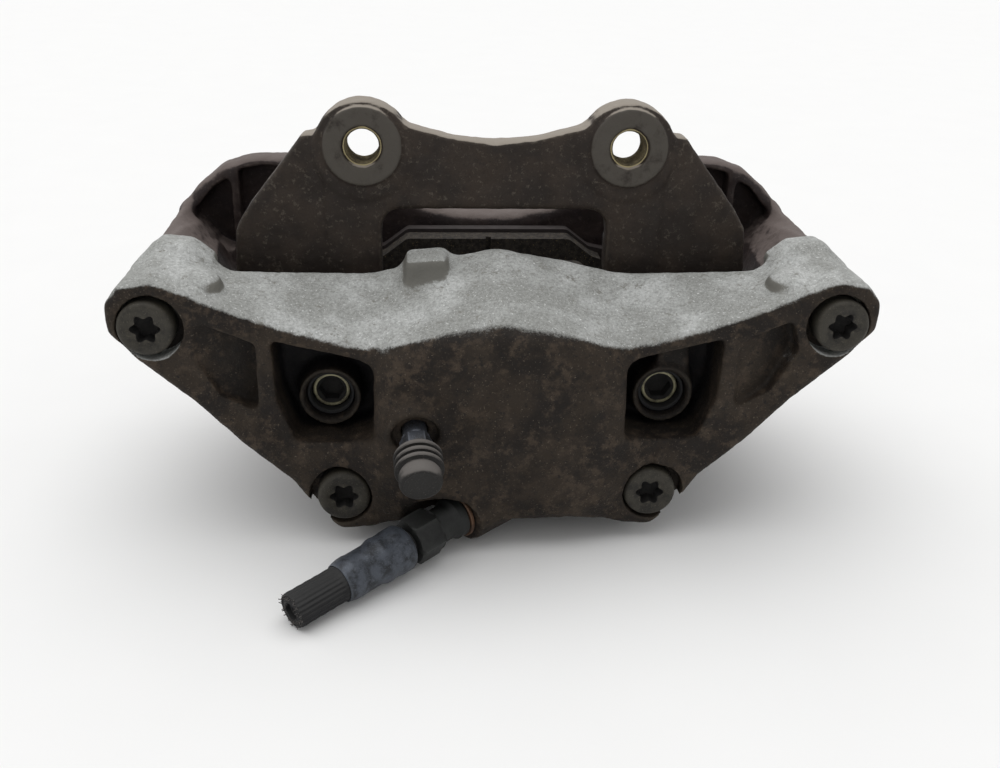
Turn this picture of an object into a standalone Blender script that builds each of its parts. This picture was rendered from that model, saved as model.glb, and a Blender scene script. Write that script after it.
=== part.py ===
"""A floating frame-type disc brake caliper, each piece of it a separate object.

Metres, +Z up. The origin is midway between the two mounting lugs, on their machined faces.
+Y runs along the piston's axis from the cylinder towards the disc, and the disc's axis lies
above the origin, so the caliper hangs below it and wraps round the disc's lower edge.
Outlines are drawn in the XZ plane, as (x, z) pairs, and are symmetric about X = 0.
"""

import math

import bmesh
import bpy
from mathutils import Matrix, Vector

MM = 0.001
GAP = 0.3 * MM
RUNNING_GAP = 0.4 * MM

# Brake disc, which the caliper straddles
DISC_AXIS_Z = 48 * MM
DISC_RADIUS = 150 * MM
DISC_INNER_Y = 15.5 * MM
DISC_OUTER_Y = 43.5 * MM

# Carrier bracket
LUG_X = 51.7 * MM
LUG_RADIUS = 15.3 * MM
LUG_DEPTH = 15 * MM
LUG_HOLE_RADIUS = 6.2 * MM
LUG_MOUTH_RADIUS = 7.8 * MM
CARRIER_FRONT_Y = 3.5 * MM
CARRIER_BACK_Y = 14.2 * MM
CARRIER_HALF_WIDTH = 104 * MM
WINDOW_TOP_Z = -25.4 * MM
WINDOW_HALF_WIDTH = 45.5 * MM
BRIDGE_INNER_RADIUS = 154.5 * MM
BRIDGE_OUTER_RADIUS = 166 * MM
ABUTMENT_BACK_Y = 60.5 * MM

# Cylinder housing
PISTON_Z = -80 * MM
HOUSING_BACK_Y = -9 * MM
EAR_BACK_Y = -2 * MM
EAR_FRONT_Y = -46 * MM
FRONT_LEAN = 4 / 70
CYLINDER_BACK_Y = -2.2 * MM
CYLINDER_FRONT_Y = -57.7 * MM
CYLINDER_RADIUS = 46.3 * MM
BORE_RADIUS = 30.3 * MM
BORE_FLOOR_Y = -34 * MM
BORE_STEPS = 36

# Frame bolts
UPPER_BOLT = (128.5 * MM, -55.5 * MM)
LOWER_BOLT = (60 * MM, -124.3 * MM)
BOLT_HEAD_RADIUS = 10.3 * MM
BOLT_HEAD_DEPTH = 9 * MM
BOLT_SHANK_RADIUS = 5.7 * MM
BOLT_LENGTH = 62 * MM
TORX_RADIUS = 5.6 * MM
RECESS_OFFSET = 1.3 * MM

# Guide pins and their bushes
PIN_X = 64.8 * MM
PIN_Z = -88 * MM
PIN_RADIUS = 7.3 * MM
PIN_FACE_Y = -30 * MM
PIN_THREAD_RADIUS = 4.2 * MM
BOSS_RADIUS = 11.7 * MM
BOSS_FACE_Y = -37 * MM
BUSH_RADIUS = 9.2 * MM
POCKET_FLOOR_Y = -25 * MM

# Caliper frame
WALL_INNER_Y = 61.4 * MM
WALL_OUTER_Y = 78 * MM
FRAME_CLEAR_RADIUS = 168.5 * MM

# Pads
PAD_HALF_WIDTH = 54.2 * MM
PAD_EAR_HALF_WIDTH = 60.3 * MM
PAD_TOP_Z = -48.8 * MM
PLATE_THICKNESS = 5.5 * MM
SHIM_THICKNESS = 0.8 * MM
INNER_LINING_Y = 15 * MM
OUTER_LINING_Y = 44.6 * MM

# Bleed screw and hose, as points on the housing and the directions in which they leave it
BLEED_SEAT = Vector((-32.2, -57.7, -92.3)) * MM
BLEED_DIRECTION = Vector((0.09, -0.96, -0.27)).normalized()
HOSE_SEAT = Vector((-15, -50, -133)) * MM
HOSE_DIRECTION = Vector((-0.758, -0.649, -0.081)).normalized()

MATERIALS = {
    "cast_iron": ((0.115, 0.085, 0.062), 0.72, 0.55),
    "rusty_iron": ((0.150, 0.072, 0.045), 0.85, 0.25),
    "cast_aluminium": ((0.250, 0.235, 0.205), 0.62, 0.70),
    "steel": ((0.200, 0.195, 0.150), 0.45, 0.90),
    "zinc": ((0.420, 0.430, 0.250), 0.35, 0.95),
    "friction": ((0.090, 0.080, 0.075), 0.95, 0.00),
    "rubber": ((0.030, 0.030, 0.028), 0.75, 0.00),
    "cap_rubber": ((0.100, 0.080, 0.065), 0.70, 0.00),
    "copper": ((0.340, 0.160, 0.090), 0.50, 0.90),
}


def material(name):
    """A Principled material of the palette, made once."""
    found = bpy.data.materials.get(name)
    if found:
        return found
    colour, roughness, metallic = MATERIALS[name]
    made = bpy.data.materials.new(name)
    made.use_nodes = True
    shader = made.node_tree.nodes["Principled BSDF"]
    shader.inputs["Base Color"].default_value = (*colour, 1)
    shader.inputs["Roughness"].default_value = roughness
    shader.inputs["Metallic"].default_value = metallic
    return made


def new_object(name, mesh_builder, finish=None):
    """An object of the given bmesh, which is freed. Without a finish it is a hidden helper."""
    bmesh.ops.recalc_face_normals(mesh_builder, faces=mesh_builder.faces)
    mesh = bpy.data.meshes.new(name)
    mesh_builder.to_mesh(mesh)
    mesh_builder.free()
    made = bpy.data.objects.new(name, mesh)
    bpy.context.scene.collection.objects.link(made)
    if finish:
        mesh.materials.append(material(finish))
    else:
        made.hide_render = True
        made.display_type = "WIRE"
    mesh.shade_smooth()
    mesh.set_sharp_from_angle(angle=math.radians(35))
    return made


def combine(target, operation, *tools):
    """A Boolean modifier that adds the tools to the target or cuts them from it, all at once."""
    name = f"{target.name}_{operation.lower()}"
    group = bpy.data.collections.new(name)
    for tool in tools:
        tool.hide_render = True
        tool.display_type = "WIRE"
        group.objects.link(tool)
    boolean = target.modifiers.new(name, "BOOLEAN")
    boolean.operation = operation
    boolean.solver = "EXACT"
    boolean.operand_type = "COLLECTION"
    boolean.collection = group


def soften(target, width, segments=2):
    """A small bevel along the target's corners."""
    bevel = target.modifiers.new("soften", "BEVEL")
    bevel.width = width
    bevel.segments = segments
    bevel.limit_method = "ANGLE"
    bevel.angle_limit = math.radians(35)
    target.modifiers.new("flat_faces", "TRIANGULATE")


def rounded(corners, steps=3):
    """An outline from (x, z, radius) corners in millimetres, each rounded by its radius."""
    outline = []
    count = len(corners)
    for index, (x, z, radius) in enumerate(corners):
        corner = Vector((x, z)) * MM
        if radius == 0:
            outline.append(corner)
            continue
        before = Vector(corners[index - 1][:2]) * MM - corner
        after = Vector(corners[(index + 1) % count][:2]) * MM - corner
        half_angle = before.angle(after) / 2
        reach = max(radius * MM / math.tan(half_angle), 0.25 * radius * MM)
        reach = min(reach, 0.49 * before.length, 0.49 * after.length)
        start = corner + before.normalized() * reach
        end = corner + after.normalized() * reach
        for step in range(steps + 1):
            share = step / steps
            outline.append((1 - share) ** 2 * start + 2 * share * (1 - share) * corner + share**2 * end)
    return outline


def on_side(side, corners):
    """A rounded outline drawn at +X, or at -X for a side of -1."""
    return [Vector((side * point.x, point.y)) for point in rounded(corners)]


def mirrored(half):
    """A whole outline from its half at +X, which runs from the top of X = 0 to its bottom."""
    other = [(-x, z, radius) for x, z, radius in reversed(half) if x > 0]
    return half + other


def disc_arc(radius, from_x, to_x, steps=8):
    """Corners along a circle round the disc's axis, between two places in X."""
    points = []
    for step in range(steps + 1):
        x = from_x + (to_x - from_x) * step / steps
        z = DISC_AXIS_Z - math.sqrt(radius**2 - x**2)
        points.append((x / MM, z / MM, 0))
    return points


def loft(name, rings, finish=None):
    """A closed solid through rings of equally many points."""
    builder = bmesh.new()
    made = [[builder.verts.new(point) for point in ring] for ring in rings]
    count = len(rings[0])
    for low, high in zip(made, made[1:]):
        for index in range(count):
            following = (index + 1) % count
            builder.faces.new((low[index], low[following], high[following], high[index]))
    builder.faces.new(made[0])
    builder.faces.new(made[-1])
    return new_object(name, builder, finish)


def prism(name, outline, low_y, high_y, finish=None):
    """An outline of the XZ plane drawn out along Y."""
    rings = [[Vector((x, y, z)) for x, z in outline] for y in (low_y, high_y)]
    return loft(name, rings, finish)


def axis_frame(point, direction):
    """The matrix that turns +Z to the direction and moves the origin to the point."""
    turn = Vector(direction).to_track_quat("Z", "Y").to_matrix().to_4x4()
    return Matrix.Translation(point) @ turn


def turned(name, profile, point, direction, finish=None, steps=28, lobes=None):
    """A profile of (radius, height) pairs turned about an axis. Ends at radius 0 are closed."""
    place = axis_frame(point, direction)
    builder = bmesh.new()
    rings = []
    for radius, height in profile:
        if radius == 0:
            rings.append([builder.verts.new(place @ Vector((0, 0, height)))])
            continue
        ring = []
        for step in range(steps):
            angle = 2 * math.pi * step / steps
            reach = radius * (lobes(angle) if lobes else 1)
            corner = Vector((reach * math.cos(angle), reach * math.sin(angle), height))
            ring.append(builder.verts.new(place @ corner))
        rings.append(ring)
    solid_ends = len(rings[0]) == 1 and len(rings[-1]) == 1
    pairs = list(zip(rings, rings[1:])) + ([] if solid_ends else [(rings[-1], rings[0])])
    for low, high in pairs:
        for step in range(steps):
            following = (step + 1) % steps
            if len(low) == 1:
                corners = (low[0], high[following], high[step])
            elif len(high) == 1:
                corners = (low[step], low[following], high[0])
            else:
                corners = (low[step], low[following], high[following], high[step])
            builder.faces.new(corners)
    return new_object(name, builder, finish)


def rod(name, radius, point, direction, length, finish=None, steps=28):
    """A plain cylinder from the point along the direction."""
    profile = [(0, 0), (radius, 0), (radius, length), (0, length)]
    return turned(name, profile, point, direction, finish, steps)


def along_y(x, y, z):
    return Vector((x, y, z)), Vector((0, 1, 0))


def wing_front_y(z):
    """The wings' front face leans forward towards its lower edge."""
    return EAR_FRONT_Y - FRONT_LEAN * (UPPER_BOLT[1] - z)


def make_carrier():
    """The bracket that bolts to the knuckle and reaches over the disc on both sides."""
    plate_half = [
        (0, 1.2, 0),
        (16, 2.4, 20),
        (36, 7.8, 4),
        (60, 7.8, 3),
        (66.5, 4, 2),
        (74.5, 4, 4),
        (79, -2, 3),
        (97, -24.5, 6),
        (102.6, -33.5, 8),
        (104, -50, 0),
        *disc_arc(BRIDGE_OUTER_RADIUS, CARRIER_HALF_WIDTH, 55.5 * MM),
        (55.5, -72.5, 0),
        (61.5, -72.5, 0),
        (61.5, -57.5, 0),
        (55.5, -57.5, 0),
        (55.5, -54, 1.5),
        (45.5, -54, 2),
        (45.5, WINDOW_TOP_Z / MM, 9),
        (0, WINDOW_TOP_Z / MM, 0),
    ]
    carrier = prism(
        "carrier_bracket",
        rounded(mirrored(plate_half)),
        CARRIER_FRONT_Y,
        CARRIER_BACK_Y,
        "cast_iron",
    )
    soften(carrier, 1.2 * MM, segments=1)
    added = []
    holes = []
    for side, label in ((-1, "left"), (1, "right")):
        lug = turned(
            f"lug_{label}",
            [
                (0, 0),
                (LUG_RADIUS - 1 * MM, 0),
                (LUG_RADIUS, 1 * MM),
                (LUG_RADIUS + 0.6 * MM, LUG_DEPTH),
                (0, LUG_DEPTH),
            ],
            *along_y(side * LUG_X, 0, 0),
            steps=36,
        )
        added += [lug, make_bridge(side, label)]
        lug_hole = turned(
            f"lug_hole_{label}",
            [
                (0, -1 * MM),
                (LUG_MOUTH_RADIUS, -1 * MM),
                (LUG_MOUTH_RADIUS, 1.6 * MM),
                (LUG_HOLE_RADIUS, 3.2 * MM),
                (LUG_HOLE_RADIUS, LUG_DEPTH + 1 * MM),
                (0, LUG_DEPTH + 1 * MM),
            ],
            *along_y(side * LUG_X, 0, 0),
            steps=28,
        )
        pin_hole = rod(
            f"pin_hole_{label}",
            PIN_THREAD_RADIUS + GAP,
            *along_y(side * PIN_X, 0, PIN_Z),
            CARRIER_BACK_Y + 1 * MM,
            steps=20,
        )
        holes += [lug_hole, pin_hole]
    combine(carrier, "UNION", *added)
    combine(carrier, "DIFFERENCE", *holes)


def make_bridge(side, label):
    """The arm over the disc's edge, with the outboard abutment that the outer pad slides on."""
    arm = [
        *disc_arc(BRIDGE_INNER_RADIUS, 58 * MM, 98 * MM, 6),
        *disc_arc(BRIDGE_OUTER_RADIUS - 1 * MM, 99 * MM, 58 * MM, 6),
    ]
    arm_solid = prism(
        f"bridge_{label}",
        on_side(side, arm),
        CARRIER_BACK_Y - 3 * MM,
        ABUTMENT_BACK_Y,
    )
    abutment = [
        (55.5, -53, 1.5),
        (74, -53, 6),
        (80, -72, 6),
        (84, -92, 0),
        *disc_arc(BRIDGE_OUTER_RADIUS - 2 * MM, 80 * MM, 56 * MM, 4),
        (55.5, -72.5, 0),
        (61.5, -72.5, 0),
        (61.5, -57.5, 0),
        (55.5, -57.5, 0),
    ]
    abutment_solid = prism(
        f"abutment_{label}",
        on_side(side, abutment),
        DISC_OUTER_Y + 2 * MM,
        ABUTMENT_BACK_Y - 0.5 * MM,
    )
    combine(arm_solid, "UNION", abutment_solid)
    return arm_solid


def wing_outlines():
    """The housing's front and back outlines, corner for corner."""
    corners = [
        # front x, front z, back x, back z, radius
        (0, -68, 0, -56, 0),
        (30, -64, 34, -47, 0),
        (40, -62.6, 41, -45.6, 0),
        (57, -62.2, 57, -45.6, 8),
        (76, -57.4, 78, -45.6, 8),
        (97, -49.6, 103, -45.4, 8),
        (113, -42.8, 110, -40.4, 4),
        (126, -38, 117, -34.4, 5),
        (137, -39.6, 129, -33, 5),
        (143.3, -47, 139, -43, 5),
        (143, -57.5, 141, -57, 5),
        (133.5, -68, 133, -67.5, 6),
        (113.5, -85.5, 113.5, -85.5, 6),
        (96.5, -103.5, 96.5, -103.5, 6),
        (79.5, -118.5, 79.5, -118.5, 8),
        (71.5, -130.5, 71.5, -130.5, 7),
        (62, -140.2, 62, -140.2, 7),
        (50, -139.2, 50, -139.2, 8),
        (38, -133, 38, -133, 6),
        (28, -127.5, 28, -127.5, 0),
        (0, -127, 0, -127, 0),
    ]
    front = rounded(mirrored([(x, z, radius) for x, z, _, _, radius in corners]))
    back = rounded(mirrored([(x, z, radius) for _, _, x, z, radius in corners]))
    return front, back


def cylinder_ring(y, half_width, top_z, bottom_z, squareness):
    """One ring of the cylinder's outer skin, round the piston's axis."""
    ring = []
    steps = 36
    for step in range(steps):
        angle = 2 * math.pi * step / steps
        across = math.cos(angle)
        up = math.sin(angle)
        tall = top_z - PISTON_Z if up > 0 else PISTON_Z - bottom_z
        power = 2 / (squareness if up > 0 else squareness + 2)
        x = half_width * math.copysign(abs(across) ** power, across)
        z = PISTON_Z + tall * math.copysign(abs(up) ** power, up)
        ring.append(Vector((x, y, z)))
    return ring


def make_cylinder_skin():
    rings = [
        cylinder_ring(CYLINDER_BACK_Y, 46.3 * MM, -36 * MM, -131.5 * MM, 2),
        cylinder_ring(-20 * MM, 46.3 * MM, -41.8 * MM, -132 * MM, 2),
        cylinder_ring(-38 * MM, 46.3 * MM, -47.6 * MM, -132 * MM, 2.1),
        cylinder_ring(-52 * MM, 46 * MM, -52.4 * MM, -132 * MM, 2.1),
        cylinder_ring(-56.2 * MM, 44.4 * MM, -55.4 * MM, -130.5 * MM, 2.1),
        cylinder_ring(CYLINDER_FRONT_Y, 40.5 * MM, -60 * MM, -127 * MM, 2.1),
    ]
    return loft("cylinder_skin", rings)


def ear_back(side, label):
    """The ear's rear end, which stands back from the wing to meet the frame's arm."""
    outline = [
        (109, -41, 4),
        (117, -34.4, 5),
        (129, -33, 5),
        (138.5, -43, 5),
        (140, -57, 5),
        (132, -67, 6),
        (116, -70, 4),
        (110, -58, 4),
    ]
    return prism(
        f"ear_back_{label}",
        on_side(side, outline),
        HOUSING_BACK_Y - 6 * MM,
        EAR_BACK_Y,
    )


def make_housing():
    """The aluminium cylinder housing with its two wings."""
    front, back = wing_outlines()
    rings = [
        [Vector((x, wing_front_y(z), z)) for x, z in front],
        [Vector((x, HOUSING_BACK_Y, z)) for x, z in back],
    ]
    housing = loft("cylinder_housing", rings, "cast_aluminium")
    soften(housing, 2.4 * MM, segments=1)
    spring_block = prism(
        "spring_block",
        rounded([(-35.5, -37.4, 3), (-19, -37, 3), (-17, -52, 0), (-35.5, -52, 0)]),
        -20 * MM,
        -5 * MM,
    )
    hose_boss = turned(
        "hose_boss",
        [(0, -34 * MM), (13 * MM, -34 * MM), (12.5 * MM, -2 * MM), (11 * MM, 0), (0, 0)],
        HOSE_SEAT,
        HOSE_DIRECTION,
        steps=28,
    )
    bleed_boss = turned(
        "bleed_boss",
        [(0, -14 * MM), (11 * MM, -14 * MM), (8.6 * MM, -0.8 * MM), (7.8 * MM, 0), (0, 0)],
        BLEED_SEAT,
        BLEED_DIRECTION,
        steps=28,
    )
    added = [make_cylinder_skin(), spring_block, hose_boss, bleed_boss]
    holes = [piston_bore(), bleed_bore(), hose_bore()]
    for side, label in ((-1, "left"), (1, "right")):
        added.append(ear_back(side, label))
        holes += wing_pockets(side, label) + bolt_and_pin_holes(side, label)
    combine(housing, "UNION", *added)
    combine(housing, "DIFFERENCE", *holes)


def wing_pockets(side, label):
    """The blind triangular pocket and the deep pocket round the guide pin."""
    triangle = [(90, -63, 3), (110, -54.6, 4), (114, -66, 5), (104, -84, 4), (91, -89, 4)]
    around_pin = [
        (47, -69.5, 5),
        (84.5, -60.8, 2),
        (83.5, -84, 6),
        (77, -99.5, 5),
        (60, -103, 5),
        (47.6, -99.5, 4),
    ]
    blind = prism(f"wing_pocket_{label}", on_side(side, triangle), -70 * MM, -39.5 * MM)
    deep = prism(f"pin_pocket_{label}", on_side(side, around_pin), -70 * MM, POCKET_FLOOR_Y)
    combine(deep, "DIFFERENCE", pin_boss(side, label))
    return [blind, deep]


def pin_boss(side, label):
    profile = [
        (0, BOSS_FACE_Y),
        (BOSS_RADIUS - 0.8 * MM, BOSS_FACE_Y),
        (BOSS_RADIUS, BOSS_FACE_Y + 0.8 * MM),
        (BOSS_RADIUS + 1 * MM, POCKET_FLOOR_Y + 2 * MM),
        (0, POCKET_FLOOR_Y + 2 * MM),
    ]
    return turned(f"pin_boss_{label}", profile, *along_y(side * PIN_X, 0, PIN_Z), steps=28)


def bolt_face_y(bolt):
    """Where the underside of a frame bolt's head seats."""
    return wing_front_y(bolt[1]) + BOLT_HEAD_DEPTH - 1.5 * MM


def bolt_and_pin_holes(side, label):
    """Counterbored bolt holes, and the mouthed bore that holds the guide bush."""
    holes = []
    for bolt, level, offset in ((UPPER_BOLT, "upper", -RECESS_OFFSET), (LOWER_BOLT, "lower", RECESS_OFFSET)):
        seat_y = bolt_face_y(bolt)
        recess = BOLT_HEAD_RADIUS + 1.8 * MM
        counterbore = [
            (0, -70 * MM),
            (recess, -70 * MM),
            (recess, seat_y),
            (0, seat_y),
        ]
        centre = side * (bolt[0] + offset)
        holes.append(turned(f"counterbore_{level}_{label}", counterbore, *along_y(centre, 0, bolt[1])))
        place = along_y(side * bolt[0], seat_y - 1 * MM, bolt[1])
        holes.append(rod(f"bolt_hole_{level}_{label}", BOLT_SHANK_RADIUS + GAP, *place, 60 * MM, steps=20))
    bush_bore = [
        (0, BOSS_FACE_Y - 1 * MM),
        (BUSH_RADIUS + 1.4 * MM, BOSS_FACE_Y - 1 * MM),
        (BUSH_RADIUS + 1.4 * MM, BOSS_FACE_Y + 0.4 * MM),
        (BUSH_RADIUS + GAP, BOSS_FACE_Y + 2.4 * MM),
        (BUSH_RADIUS + GAP, 0),
        (0, 0),
    ]
    holes.append(turned(f"bush_bore_{label}", bush_bore, *along_y(side * PIN_X, 0, PIN_Z)))
    return holes


def piston_bore():
    """The cylinder's bore with its seal groove and the boot's lip groove."""
    seal_groove = BORE_RADIUS + 3.4 * MM
    boot_mouth = BORE_RADIUS + 4.6 * MM
    profile = [
        (0, BORE_FLOOR_Y),
        (BORE_RADIUS, BORE_FLOOR_Y),
        (BORE_RADIUS, -20 * MM),
        (seal_groove, -20 * MM),
        (seal_groove, -16 * MM),
        (BORE_RADIUS, -16 * MM),
        (BORE_RADIUS, -9 * MM),
        (boot_mouth, -9 * MM),
        (boot_mouth, 1 * MM),
        (0, 1 * MM),
    ]
    return turned("piston_bore", profile, *along_y(0, 0, PISTON_Z), steps=BORE_STEPS)


def bleed_bore():
    """The bleed screw's hole, which breaks into the bottom of the piston's bore."""
    profile = [
        (0, -29 * MM),
        (2.2 * MM, -29 * MM),
        (2.2 * MM, -13 * MM),
        (5 * MM, -10 * MM),
        (5 * MM, 4 * MM),
        (0, 4 * MM),
    ]
    return turned("bleed_bore", profile, BLEED_SEAT, BLEED_DIRECTION, steps=20)


def hose_bore():
    """The hose port, with the clearance that its spanner needs in front of the seat."""
    profile = [
        (0, -24 * MM),
        (2.5 * MM, -24 * MM),
        (2.5 * MM, -13 * MM),
        (5.3 * MM, -11 * MM),
        (5.3 * MM, 0),
        (12 * MM, 0),
        (12 * MM, 40 * MM),
        (0, 40 * MM),
    ]
    return turned("hose_bore", profile, HOSE_SEAT, HOSE_DIRECTION, steps=20)


def make_frame():
    """The iron frame that carries the housing on one side and presses the outer pad on the other."""
    wall_half = [
        (0, -47.5, 0),
        (14, -46.5, 8),
        (28, -43, 8),
        (50, -33.5, 10),
        (68, -23, 6),
        (78, -19, 6),
        (105, -19.2, 10),
        (118, -23.5, 10),
        (130, -33.5, 8),
        (137.5, -43, 6),
        (138.5, -56, 6),
        (129, -67, 6),
        (112, -87, 6),
        (95, -104.5, 6),
        (78, -119.5, 8),
        (67, -131, 8),
        (40, -137, 12),
        (0, -139, 0),
    ]
    frame = prism("caliper_frame", rounded(mirrored(wall_half)), WALL_INNER_Y, WALL_OUTER_Y, "rusty_iron")
    soften(frame, 3.2 * MM, segments=1)
    sides = ((-1, "left"), (1, "right"))
    combine(frame, "UNION", *[solid for side, label in sides for solid in (frame_side(side, label), wall_rib(side, label))])
    combine(frame, "DIFFERENCE", *[cut for side, label in sides for cut in frame_cuts(side, label)])


def frame_side(side, label):
    """The wall along the disc's edge: a thick boss round the bolts that thins towards the outboard wall."""
    corners = [
        # front x, front z, back x, back z, radius
        (128.5, -34.5, 134.5, -39, 4),
        (122, -38, 131, -44, 2),
        (109, -49.5, 120, -58.5, 3),
        (109, -78, 108, -76, 4),
        *[(x, z, x, z, 0) for x, z, _ in disc_arc(FRAME_CLEAR_RADIUS, 103 * MM, 46 * MM)],
        (42, -119, 42, -119, 3),
        (44, -136, 44, -136, 8),
        (60, -139.5, 60, -139.5, 8),
        (70, -131, 70, -131, 7),
        (78, -119, 78, -119, 8),
        (95, -104, 95, -104, 6),
        (112, -86.5, 112, -86.5, 6),
        (129, -66.5, 129, -66.5, 6),
        (138.5, -56, 138.5, -56, 5),
        (136.5, -43, 137.5, -43.5, 4),
    ]
    front = on_side(side, [(x, z, radius) for x, z, _, _, radius in corners])
    back = on_side(side, [(x, z, radius) for _, _, x, z, radius in corners])
    ends = ((front, HOUSING_BACK_Y + GAP), (back, WALL_INNER_Y + 4 * MM))
    side_wall = loft(f"side_wall_{label}", [[Vector((x, y, z)) for x, z in outline] for outline, y in ends])
    ear_relief = [
        (100, -20, 0),
        (150, -20, 0),
        (150, -62, 0),
        (136, -76, 0),
        (106, -76, 0),
    ]
    relief = prism(
        f"ear_relief_{label}",
        on_side(side, ear_relief),
        HOUSING_BACK_Y - 2 * MM,
        EAR_BACK_Y + GAP,
    )
    combine(side_wall, "DIFFERENCE", relief)
    return side_wall


def wall_rib(side, label):
    """A thin rib down the wall's inner face."""
    outline = [(111, -27, 1), (113.5, -28, 1), (113.5, -66, 0), (111, -66, 0)]
    return prism(f"wall_rib_{label}", on_side(side, outline), WALL_INNER_Y - 2.5 * MM, WALL_INNER_Y + 3 * MM)


def frame_cuts(side, label):
    """The bolts' threads, and the window in the wall that clears the carrier."""
    cuts = []
    for bolt, level in ((UPPER_BOLT, "upper"), (LOWER_BOLT, "lower")):
        thread = BOLT_SHANK_RADIUS + GAP
        length = BOLT_LENGTH + 2 * MM
        start = bolt_face_y(bolt)
        cuts.append(
            rod(f"thread_{level}_{label}", thread, *along_y(side * bolt[0], start, bolt[1]), length, steps=20)
        )
    window = [
        (53.6, -51, 3),
        (82, -51, 6),
        (106, -66, 8),
        *disc_arc(FRAME_CLEAR_RADIUS, 102 * MM, 54 * MM),
    ]
    cuts.append(
        prism(
            f"wall_window_{label}",
            on_side(side, window),
            WALL_INNER_Y - 1 * MM,
            WALL_OUTER_Y + 1 * MM,
        )
    )
    return cuts


def torx_lobes(angle):
    """How far a six-lobed socket reaches at an angle, as a share of its largest radius."""
    return 0.86 + 0.14 * math.cos(6 * angle)


def make_frame_bolts():
    """Four screws that hold the housing to the frame."""
    for bolt, level in ((UPPER_BOLT, "upper"), (LOWER_BOLT, "lower")):
        seat_y = bolt_face_y(bolt)
        face = -BOLT_HEAD_DEPTH
        profile = [
            (0, face),
            (BOLT_HEAD_RADIUS - 1.4 * MM, face),
            (BOLT_HEAD_RADIUS, face + 1.6 * MM),
            (BOLT_HEAD_RADIUS, -GAP),
            (BOLT_SHANK_RADIUS, -GAP),
            (BOLT_SHANK_RADIUS, BOLT_LENGTH - 1.5 * MM),
            (BOLT_SHANK_RADIUS - 1.2 * MM, BOLT_LENGTH),
            (0, BOLT_LENGTH),
        ]
        socket = [
            (0, face - 1 * MM),
            (TORX_RADIUS, face - 1 * MM),
            (TORX_RADIUS, face + 4.5 * MM),
            (0, face + 5.2 * MM),
        ]
        for side, label in ((-1, "left"), (1, "right")):
            place = along_y(side * bolt[0], seat_y, bolt[1])
            screw = turned(f"frame_bolt_{level}_{label}", profile, *place, "steel", steps=20)
            combine(screw, "DIFFERENCE", turned(f"torx_{level}_{label}", socket, *place, steps=24, lobes=torx_lobes))


def make_guide_pins():
    """The pins that stay with the carrier, and the bushes that slide on them."""
    neck_y = CARRIER_FRONT_Y - GAP
    pin = [
        (0, PIN_FACE_Y),
        (PIN_RADIUS - 0.8 * MM, PIN_FACE_Y),
        (PIN_RADIUS, PIN_FACE_Y + 0.8 * MM),
        (PIN_RADIUS, neck_y),
        (PIN_THREAD_RADIUS, neck_y),
        (PIN_THREAD_RADIUS, CARRIER_BACK_Y - 0.6 * MM),
        (0, CARRIER_BACK_Y - 0.6 * MM),
    ]
    hexagon = [(0, -31 * MM), (5.2 * MM, -31 * MM), (5.2 * MM, -23 * MM), (0, -22 * MM)]
    inner = PIN_RADIUS + RUNNING_GAP
    bush = [
        (inner, -33 * MM),
        (BUSH_RADIUS, -33 * MM),
        (BUSH_RADIUS, HOUSING_BACK_Y - 1 * MM),
        (inner, HOUSING_BACK_Y - 1 * MM),
    ]
    for side, label in ((-1, "left"), (1, "right")):
        place = along_y(side * PIN_X, 0, PIN_Z)
        made = turned(f"guide_pin_{label}", pin, *place, "zinc", steps=24)
        combine(made, "DIFFERENCE", turned(f"pin_hexagon_{label}", hexagon, *place, steps=6))
        turned(f"guide_bush_{label}", bush, *place, "rubber", steps=24)


def make_piston():
    """The hollow piston, open towards the pad, with its seal and its dust boot."""
    outer = BORE_RADIUS - GAP
    place = along_y(0, 0, PISTON_Z)
    cup = [
        (0, BORE_FLOOR_Y + 1.5 * MM),
        (outer - 1.5 * MM, BORE_FLOOR_Y + 1.5 * MM),
        (outer, BORE_FLOOR_Y + 3 * MM),
        (outer, -6.5 * MM),
        (outer - 1.4 * MM, -6.2 * MM),
        (outer - 1.4 * MM, -4.2 * MM),
        (outer, -4 * MM),
        (outer, -2 * MM),
        (outer - 6 * MM, -2 * MM),
        (outer - 6 * MM, BORE_FLOOR_Y + 9 * MM),
        (0, BORE_FLOOR_Y + 9 * MM),
    ]
    turned("piston", cup, *place, "steel", steps=BORE_STEPS)
    seal = [
        (BORE_RADIUS + 0.2 * MM, -19.6 * MM),
        (BORE_RADIUS + 3 * MM, -19.6 * MM),
        (BORE_RADIUS + 3 * MM, -16.4 * MM),
        (BORE_RADIUS + 0.2 * MM, -16.4 * MM),
    ]
    turned("piston_seal", seal, *place, "rubber", steps=BORE_STEPS)
    fold = BORE_RADIUS + 0.3 * MM
    rim = BORE_RADIUS + 4.2 * MM
    boot = [
        (fold + 1.6 * MM, -8.6 * MM),
        (rim, -8.6 * MM),
        (rim, -5.6 * MM),
        (rim - 1.4 * MM, -4.2 * MM),
        (rim, -2.8 * MM),
        (rim - 1.2 * MM, -2.4 * MM),
        (fold, -3 * MM),
        (fold, -4.2 * MM),
        (rim - 3 * MM, -5.2 * MM),
        (fold + 1.6 * MM, -6.6 * MM),
    ]
    turned("piston_dust_boot", boot, *place, "rubber", steps=BORE_STEPS)


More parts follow.
